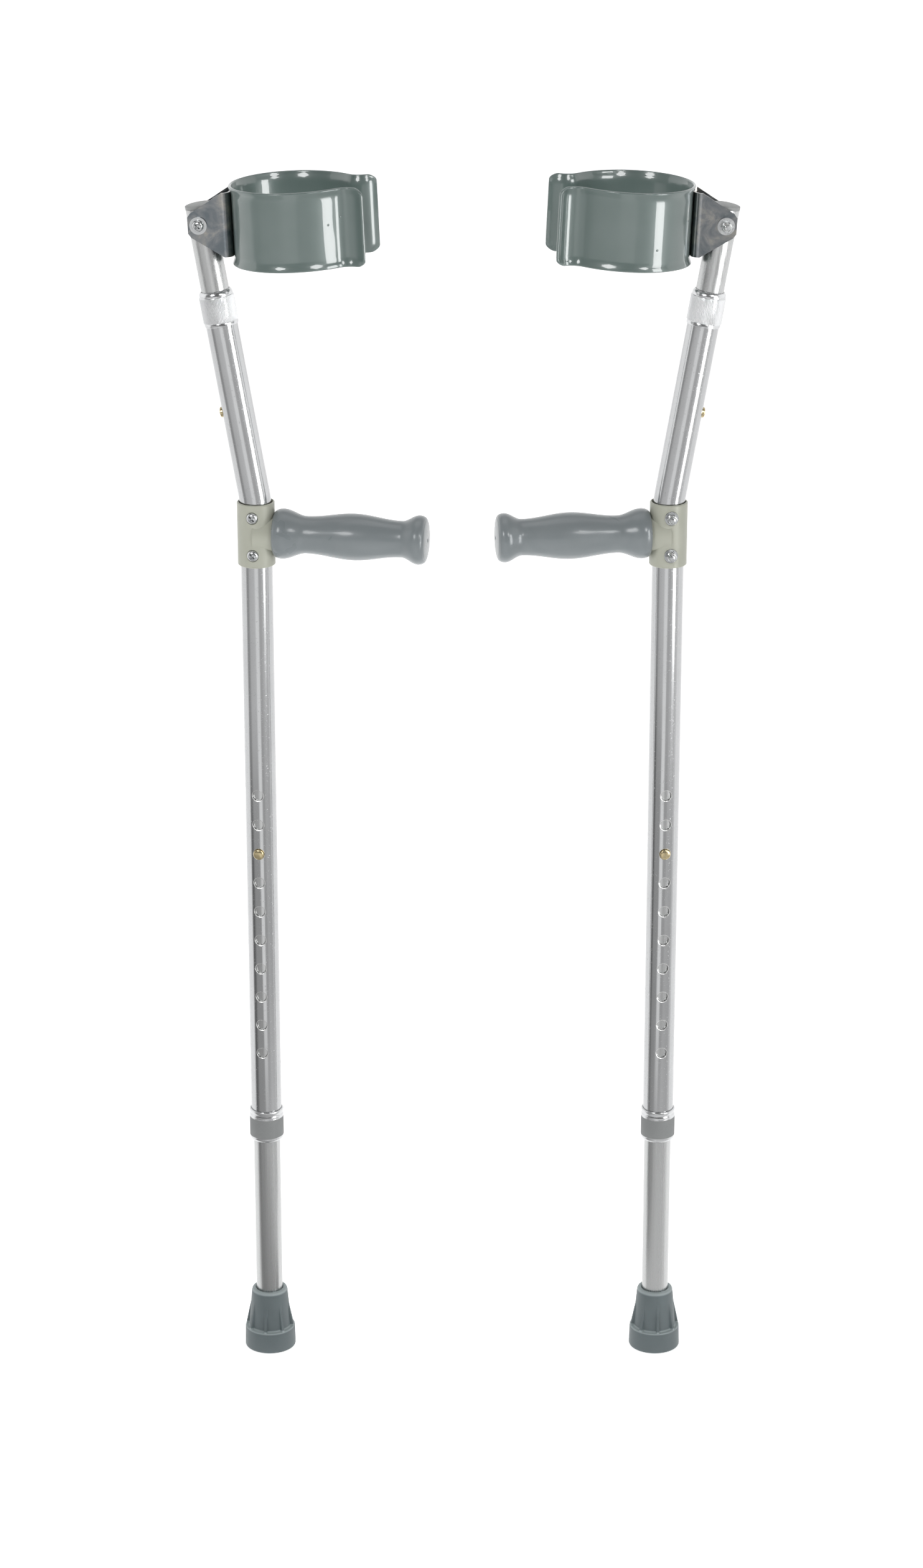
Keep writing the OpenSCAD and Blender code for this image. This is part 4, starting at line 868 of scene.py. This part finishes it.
# Two tapered blades, crossed, cut the recess
recessed, given, result = new_tree("cross_recess", [
    ("Across", "Float"), ("Width", "Float"), ("Depth", "Float"), ("Top", "Float")])
blades = add(recessed, "GeometryNodeJoinGeometry")
top_r = add(recessed, "ShaderNodeMath", {"operation": "MULTIPLY", 1: recess_top_share}, {0: given["Across"]})
foot_r = add(recessed, "ShaderNodeMath", {"operation": "MULTIPLY", 1: recess_foot_share}, {0: given["Across"]})
slim = add(recessed, "ShaderNodeMath", {"operation": "DIVIDE"}, {0: given["Width"], 1: given["Across"]})
slimmed = add(recessed, "ShaderNodeCombineXYZ", {0: 1.0, 2: 1.0}, {1: slim.outputs[0]})
seat = add(recessed, "ShaderNodeCombineXYZ", links={2: given["Top"]})
for turn in (45, 135):
    blade = add(recessed, "GeometryNodeMeshCone", {"Vertices": 4, "Side Segments": 1}, {
        "Radius Top": top_r.outputs[0], "Radius Bottom": foot_r.outputs[0], "Depth": given["Depth"]})
    square = add(recessed, "GeometryNodeTransform", {"Rotation": (0, 0, math.radians(45))}, {0: blade.outputs[0]})
    thin = add(recessed, "GeometryNodeTransform", links={0: square.outputs[0], "Scale": slimmed.outputs[0]})
    placed = add(recessed, "GeometryNodeTransform", {"Rotation": (0, 0, math.radians(turn))}, {
        0: thin.outputs[0], "Translation": seat.outputs[0]})
    recessed.links.new(placed.outputs[0], blades.inputs[0])
cut = add(recessed, "GeometryNodeMeshBoolean", {
    "operation": "DIFFERENCE", "solver": "EXACT", "Self Intersection": True}, {
    "Mesh 1": given["Geometry"], "Mesh 2": blades.outputs[0]})
recessed.links.new(cut.outputs[0], result[0])


def threaded_screw(name, reach):
    """A pan-head screw along +Z with its seat at 0, its head below and a thread at its end."""
    thread_from = reach - thread_length
    stations = [(0, -head_height), (1.2, -head_height + 0.03), (2.2, -head_height + 0.14),
                (3.0, -head_height + 0.36), (3.7, -head_height + 0.78), (4.25, -head_height + 1.4),
                (4.55, -head_height + 2.0), (head_r, -0.5), (head_r - 0.05, -0.1), (head_r - 0.2, 0),
                (screw_r, 0), (screw_r, thread_from - thread_step)]
    stations += [(screw_r, thread_from + thread_step * k) for k in range(round(thread_length / thread_step))]

    def thread_r(turn, r, z):
        if z < thread_from:
            return r
        phase = (z / thread_pitch - turn) % 1
        return r - thread_depth * abs(2 * phase - 1) - max(0, z - reach + point_length) * point_taper

    made = turned(name, stations + [(0, reach)], zinc, steps=screw_steps, radius_at=thread_r)
    return shaped("cross_recess", made, Across=recess_across * MM, Width=recess_width * MM,
                  Depth=recess_depth * MM, Top=(-head_height - 0.05) * MM)


across_tube = Matrix.Rotation(-quarter, 4, "X")
screw_edge = math.radians(40)
for side in SIDES:
    made = threaded_screw(f"{side}_clamp_screws", 2 * spot_r + washer_t + nut_height + thread_proud)
    made.data.transform(across_tube @ Matrix.Translation((0, 0, -spot_r * MM)))
    shaped("set_in_a_row", made, Count=2, First=(0, 0, screw_heights[0] * MM), Pitch=(0, 0, screw_rise * MM),
           Finish=zinc)
    made.data.set_sharp_from_angle(angle=screw_edge)
    made.data.transform(CRUTCH[side])
    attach(made, f"{side}_frame")
    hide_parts(f"{side}_bracket_screws")
    made = threaded_screw(f"{side}_cuff_pivot_screw", 2 * ear_out + 2 * washer_t + nut_height + thread_proud)
    made.data.transform(CUFF[side] @ across_tube @ Matrix.Translation((0, 0, -(ear_out + washer_t) * MM)))
    made.data.set_sharp_from_angle(angle=screw_edge)
    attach(made, f"{side}_cuff_unit")
    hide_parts(f"{side}_pivot_screw")


# ---- Lock nuts ----
# M5 lock nuts of zinc-plated steel: each is a chamfered hexagon, whose rolled collar holds a ring
# of nylon round the thread. The ring grips the screw, so that the joint can't work loose.
nut_flat_r, nut_steps, nut_edge = 4.0, 72, math.radians(30)
nut_stations = [(3.9, 0.0), (4.17, 0.15), (4.62, 0.42), (4.62, 1.75), (4.62, 3.08), (4.17, 3.35), (3.9, 3.5),
                (3.72, 3.62), (3.68, 4.2), (3.6, 4.6), (3.4, 4.85), (3.15, 4.95), (2.95, 4.9), (2.85, 4.7),
                (2.85, 3.6), (2.55, 3.5), (2.55, 0.2), (2.8, 0.0)]
ring_stations = [(2.84, 4.55), (2.84, 3.62), (2.52, 3.62), (2.52, 4.5), (2.6, 4.6), (2.75, 4.62)]


def hexagon_r(turn, r, z):
    """The nut's radius at a share of the turn: its flats cut every station that reaches past them."""
    return min(r, nut_flat_r / math.cos(math.radians(360 * turn % 60 - 30)))


for side in SIDES:
    for name, body_name, node_name, count, first, seat, place in (
            ("clamp_nuts", "frame", "bracket_nuts", 2, screw_heights[0], spot_r, CRUTCH[side]),
            ("cuff_pivot_nut", "cuff_unit", "pivot_nut", 1, 0, ear_out, CUFF[side])):
        made = turned(f"{side}_{name}_locking", nut_stations, zinc, nut_steps, radius_at=hexagon_r)
        ring = turned(f"{side}_{name}_nylon_ring", ring_stations, nylon, steps=48)
        for piece, finish, slot_name in ((made, zinc, "zinc_plate"), (ring, nylon, "nylon")):
            piece.data.transform(across_tube @ Matrix.Translation((0, 0, (seat + washer_t) * MM)))
            shaped("set_in_a_row", piece, Count=count, First=(0, 0, first * MM), Pitch=(0, 0, screw_rise * MM),
                   Finish=finish)
            piece.data.set_sharp_from_angle(angle=nut_edge)
            piece.data.transform(place)
            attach(piece, f"{side}_{body_name}")
        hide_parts(f"{side}_{node_name}")


# ---- End caps ----
# A push-in plug in the top of each forearm tube, moulded in grey polyethylene. It is slightly
# domed, and scuffed by the table or the wall that the crutch is leaned on.
cap_plastic, tree = new_material("moulded_grey_polyethylene")
at = add(tree, "ShaderNodeTexCoord")
scuffs = add(tree, "ShaderNodeTexNoise", {"Scale": 1 / 0.002, "Detail": 4.0}, {0: at.outputs["Object"]})
tone = add(tree, "ShaderNodeMix", {"data_type": "RGBA", 6: colour("#8f9191"), 7: colour("#9fa1a0")},
           {0: scuffs.outputs[0]})
relief = add(tree, "ShaderNodeBump", {"Strength": 0.2, "Distance": 0.00005}, {"Height": scuffs.outputs[0]})
body = add(tree, "ShaderNodeBsdfPrincipled", {"Roughness": 0.5}, {
    "Base Color": tone.outputs[2], "Normal": relief.outputs[0]})
add(tree, "ShaderNodeOutputMaterial", links={0: body.outputs[0]})
finish_nodes(cap_plastic, "forearm_end_cap")


# ---- Cuffs ----
# A band of sheet steel bent to an open ring and dipped in grey-green vinyl. Its rims roll outwards,
# its two flanges open towards the grip, and the thick coat is glossy, rounded and a little wavy.
cuff_vinyl, tree = new_material("dipped_grey_vinyl")
at = add(tree, "ShaderNodeTexCoord")
pool = add(tree, "ShaderNodeTexNoise", {"Scale": 1 / 0.022, "Detail": 1.0}, {0: at.outputs["Object"]})
run = add(tree, "ShaderNodeMapping", {"Scale": (1 / 0.013, 1 / 0.013, 1 / 0.045)}, {0: at.outputs["Object"]})
runs = add(tree, "ShaderNodeTexNoise", {"Scale": 1.0, "Detail": 1.0}, {0: run.outputs[0]})
tone = add(tree, "ShaderNodeMix", {"data_type": "RGBA", 6: colour("#596965"), 7: colour("#64726f")},
           {0: pool.outputs[0]})
relief = add(tree, "ShaderNodeBump", {"Strength": 0.35, "Distance": 0.0002}, {"Height": runs.outputs[0]})
body = add(tree, "ShaderNodeBsdfPrincipled", {
    "Roughness": 0.34, "IOR": 1.53, "Coat Weight": 1.0, "Coat Roughness": 0.02, "Coat IOR": 1.5}, {
    "Base Color": tone.outputs[2], "Normal": relief.outputs[0], "Coat Normal": relief.outputs[0]})
add(tree, "ShaderNodeOutputMaterial", links={0: body.outputs[0]})

cuff_height, cuff_half_t, cuff_back_r, cuff_side_r, cuff_flange_r = 62, 1.25, 45, 60, 14
side_from, side_to, flange_angle, lip, flare, flare_height, cuff_corner_r = 10, 45, 50, 3.2, 2.6, 8, 6
back_steps, side_steps, flange_steps, face_steps, rim_turns = 34, 16, 20, 27, range(22, 170, 22)
# The coat thins and thickens by this much, in waves of this size, and stops just short of the rim
coat_drift, coat_wave, coat_wave_height, coat_start, coat_short = 0.09, 16, 24, 7.1, 0.02
clevis_reach = 25.5
cuff_middle = clevis_reach + cuff_back_r + cuff_half_t


def around(degrees):
    """One millimetre out from the middle, in this direction."""
    return np.array((math.cos(math.radians(degrees)), math.sin(math.radians(degrees))))


# From the middle of the back to the lip: (place, outward normal) along one half of the band
half_band = [(cuff_back_r * around(a), around(a)) for a in np.linspace(180, 90 - side_from, back_steps)]
side_centre = (cuff_back_r - cuff_side_r) * around(90 - side_from)
half_band += [(side_centre + cuff_side_r * around(a), around(a))
              for a in np.linspace(90 - side_from, side_to, side_steps)[1:]]
flange_centre = side_centre + (cuff_side_r + cuff_flange_r) * around(side_to)
half_band += [(flange_centre + cuff_flange_r * around(a), -around(a))
              for a in np.linspace(side_to - 180, side_to - 180 + side_to + flange_angle, flange_steps)[1:]]
lip_from, lip_normal = half_band[-1]
half_band += [(lip_from + around(flange_angle) * s, lip_normal)
              for s in (0.7, 1.3, lip - 1.25, lip - 0.9, lip - 0.5, lip - 0.2, lip - 0.04)]
lip_thin = {-1: 0.25, -2: 0.54, -3: 0.8, -4: 0.96}  # how the coat closes over each end of the band
lip_x = half_band[-1][0][0]
band = [(place * (1, -1), normal * (1, -1)) for place, normal in reversed(half_band[1:])] + half_band


def rolled(z):
    """How far the band has rolled outwards at a height."""
    return flare * (max(0.0, abs(z) - (cuff_height / 2 - flare_height)) / flare_height) ** 2


for side in SIDES:
    points = []
    for i, (place, normal) in enumerate(band):
        t = cuff_half_t * lip_thin.get(i - len(band), 1.0) * lip_thin.get(-1 - i, 1.0)
        half = cuff_height / 2 - coat_short
        into_corner = place[0] - (lip_x - cuff_corner_r)
        if into_corner > 0:
            half -= cuff_corner_r - math.sqrt(max(0.0, cuff_corner_r ** 2 - into_corner ** 2))
        crown = half - cuff_half_t
        # Up the outer face, over the top rim, down the inner face and under: (out, height, face)
        loop = [(rolled(z) + t, z, -1) for z in np.linspace(-crown, crown, face_steps)]
        loop += [(rolled(crown) + t * c, crown + cuff_half_t * s, 0) for c, s in map(around, rim_turns)]
        loop += [(rolled(z) - t, z, 1) for z in np.linspace(crown, -crown, face_steps)]
        loop += [(rolled(crown) - t * c, -crown - cuff_half_t * s, 0) for c, s in map(around, rim_turns)]
        for rise, z, face in loop:
            x, y = place + normal * rise
            wave = noise.noise(Vector((x / coat_wave, y / coat_wave, z / coat_wave_height + coat_start)))
            ease = face * coat_drift * (1 - wave)
            points.append((cuff_middle + x + normal[0] * ease, y + normal[1] * ease, z))
    ring = len(points) // len(band)
    faces = rings_to_faces(len(band), ring, closed=False)
    faces += [tuple(range(ring)), tuple(range(len(points) - ring, len(points)))[::-1]]
    made = outwards(new_mesh(f"{side}_cuff_dipped", points, faces, cuff_vinyl, 80))
    made.data.transform(CUFF[side])
    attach(made, f"{side}_cuff_unit")
    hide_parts(f"{side}_cuff")


# ---- Clevises and rivets ----
# Each cuff is riveted to a U of sheet steel, zinc-plated and passivated. The passivation has dried
# in soft blue and brown clouds. The rivets are mild steel, dipped over inside the cuff.
clevis_zinc, tree = new_material("passivated_zinc_sheet")
at = add(tree, "ShaderNodeTexCoord")
clouds = add(tree, "ShaderNodeTexNoise", {
    "Scale": 1 / 0.016, "Detail": 5.0, "Roughness": 0.62, "Distortion": 0.6}, {0: at.outputs["Object"]})
tint = add(tree, "ShaderNodeValToRGB", links={0: clouds.outputs[0]})
for i, (place, code) in enumerate(((0.34, "#6f767b"), (0.66, "#a7a49e"), (0.5, "#8a8d8f"))):
    stop = tint.color_ramp.elements[i] if i < 2 else tint.color_ramp.elements.new(place)
    stop.position, stop.color = place, colour(code)
gloss = add(tree, "ShaderNodeMapRange", {1: 0.3, 2: 0.7, 3: 0.12, 4: 0.26}, {0: clouds.outputs[0]})
metal = add(tree, "ShaderNodeBsdfPrincipled", {"Metallic": 1.0}, {
    "Base Color": tint.outputs[0], "Roughness": gloss.outputs[0]})
add(tree, "ShaderNodeOutputMaterial", links={0: metal.outputs[0]})
finish_nodes(clevis_zinc, "cuff_bracket")
finish_nodes(cuff_vinyl, "cuff_rivets")


# ---- Pimples in the dipped coat ----
# Air and dust leave a few low beads in the vinyl. Each is set where the photograph shows it: a ray
# from the camera meets the finished cuff there.
def placed_from_picture(point, carriers):
    """Where the camera's ray through an image point meets what carries the piece, and the normal."""
    x, y = point
    long_side = max(W, H)
    ray = Vector((x - W / 2 + camera_data.shift_x * long_side, H / 2 - y + camera_data.shift_y * long_side,
                  -long_side * camera_lens / camera_sensor))
    start = camera.matrix_world.translation
    way = (camera.matrix_world.to_3x3() @ ray).normalized()
    best = None
    for carrier in carriers:
        mesh = carrier.data
        skin = BVHTree.FromPolygons([v.co for v in mesh.vertices], [tuple(p.vertices) for p in mesh.polygons])
        spot, normal, _, far = skin.ray_cast(start, way)
        if spot is not None and (best is None or far < best[2]):
            best = (spot, normal, far)
    if best is None:
        for vertex in (vertex for carrier in carriers for vertex in carrier.data.vertices):
            along = (vertex.co - start).dot(way)
            off = (vertex.co - start - way * along).length
            if best is None or off < best[2]:
                best = (vertex.co.copy(), vertex.normal.copy(), off)
    spot, normal = best[0], best[1]
    return spot, (normal if normal.dot(way) < 0 else -normal)


bead_r, bead_height, bead_root = 0.8, 0.35, 0.3
bead_stations = [(0, -bead_root), (bead_r * 1.2, -bead_root), (bead_r * 1.25, -0.12)]
bead_stations += [(bead_r * math.cos(math.radians(a)) ** 0.8 * (1.2 - 0.2 * a / 90),
                   bead_height * math.sin(math.radians(a)) ** 1.3) for a in range(10, 90, 10)]
bead_stations += [(0, bead_height)]
found = {}
for side in SIDES:
    for label in (f"{side}_cuff_bead", f"{side}_cuff_lower_bead"):
        spot, normal = placed_from_picture(POINTS[label], [bpy.data.objects[f"{side}_cuff_dipped"]])
        found[label] = spot
        bead = turned(label, bead_stations, cuff_vinyl, steps=20, sharp=80)
        stand = normal.to_track_quat("Z", "Y").to_matrix().to_4x4()
        stand.translation = spot
        bead.data.transform(stand)
        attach(bead, f"{side}_cuff_unit")


# ---- Image points and size ----
# Where each named point and edge shows in the picture, against where the photograph has it.
def in_picture(spot):
    """Where a place shows, in the image points' frame."""
    seen = camera.matrix_world.inverted() @ Vector(spot)
    scale = max(W, H) * camera_lens / camera_sensor / -seen.z
    return W / 2 + seen.x * scale, H / 2 - seen.y * scale


button_dome = 2.2
for label, height in (("top_hole", top_hole), ("lowest_hole", lowest_hole)):
    found[f"left_{label}"] = CRUTCH["left"] @ Vector((0, -main_r * MM, height * MM))
found["left_leg_button"] = CRUTCH["left"] @ Vector((0, -(main_r + button_dome) * MM, button_height * MM))
for label, height in zip(("lower", "upper"), screw_heights):
    found[f"left_{label}_screw"] = CRUTCH["left"] @ Vector((0, -(spot_r + head_height / 2) * MM, height * MM))
    found[f"right_{label}_nut"] = CRUTCH["right"] @ Vector((
        0, (spot_r + washer_t + nut_height / 2) * MM, height * MM))
found["left_pivot_screw"] = CUFF["left"] @ Vector((0, -(ear_out + washer_t + head_height / 2) * MM, 0))
found["right_pivot_nut"] = CUFF["right"] @ Vector((0, (ear_out + washer_t + nut_height / 2) * MM, 0))
for side in SIDES:
    found[f"{side}_grip_vent"] = CRUTCH[side] @ Vector(((grip_from + grip_length) * MM, 0, grip_height * MM))
shown = [piece for piece in bpy.context.scene.objects
         if piece.type == "MESH" and not piece.get("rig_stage") and not piece.hide_render]
spread = np.array([in_picture(piece.matrix_world @ vertex.co)
                   for piece in shown for vertex in piece.data.vertices])
edges_now = {"left": spread[:, 0].min(), "right": spread[:, 0].max(),
             "top": spread[:, 1].min(), "bottom": spread[:, 1].max()}
report = {label: [round(a - b, 2) for a, b in zip(in_picture(found[label]), POINTS[label])] for label in POINTS}
report.update({edge: round(float(edges_now[edge] - EDGES[edge]), 2) for edge in EDGES})
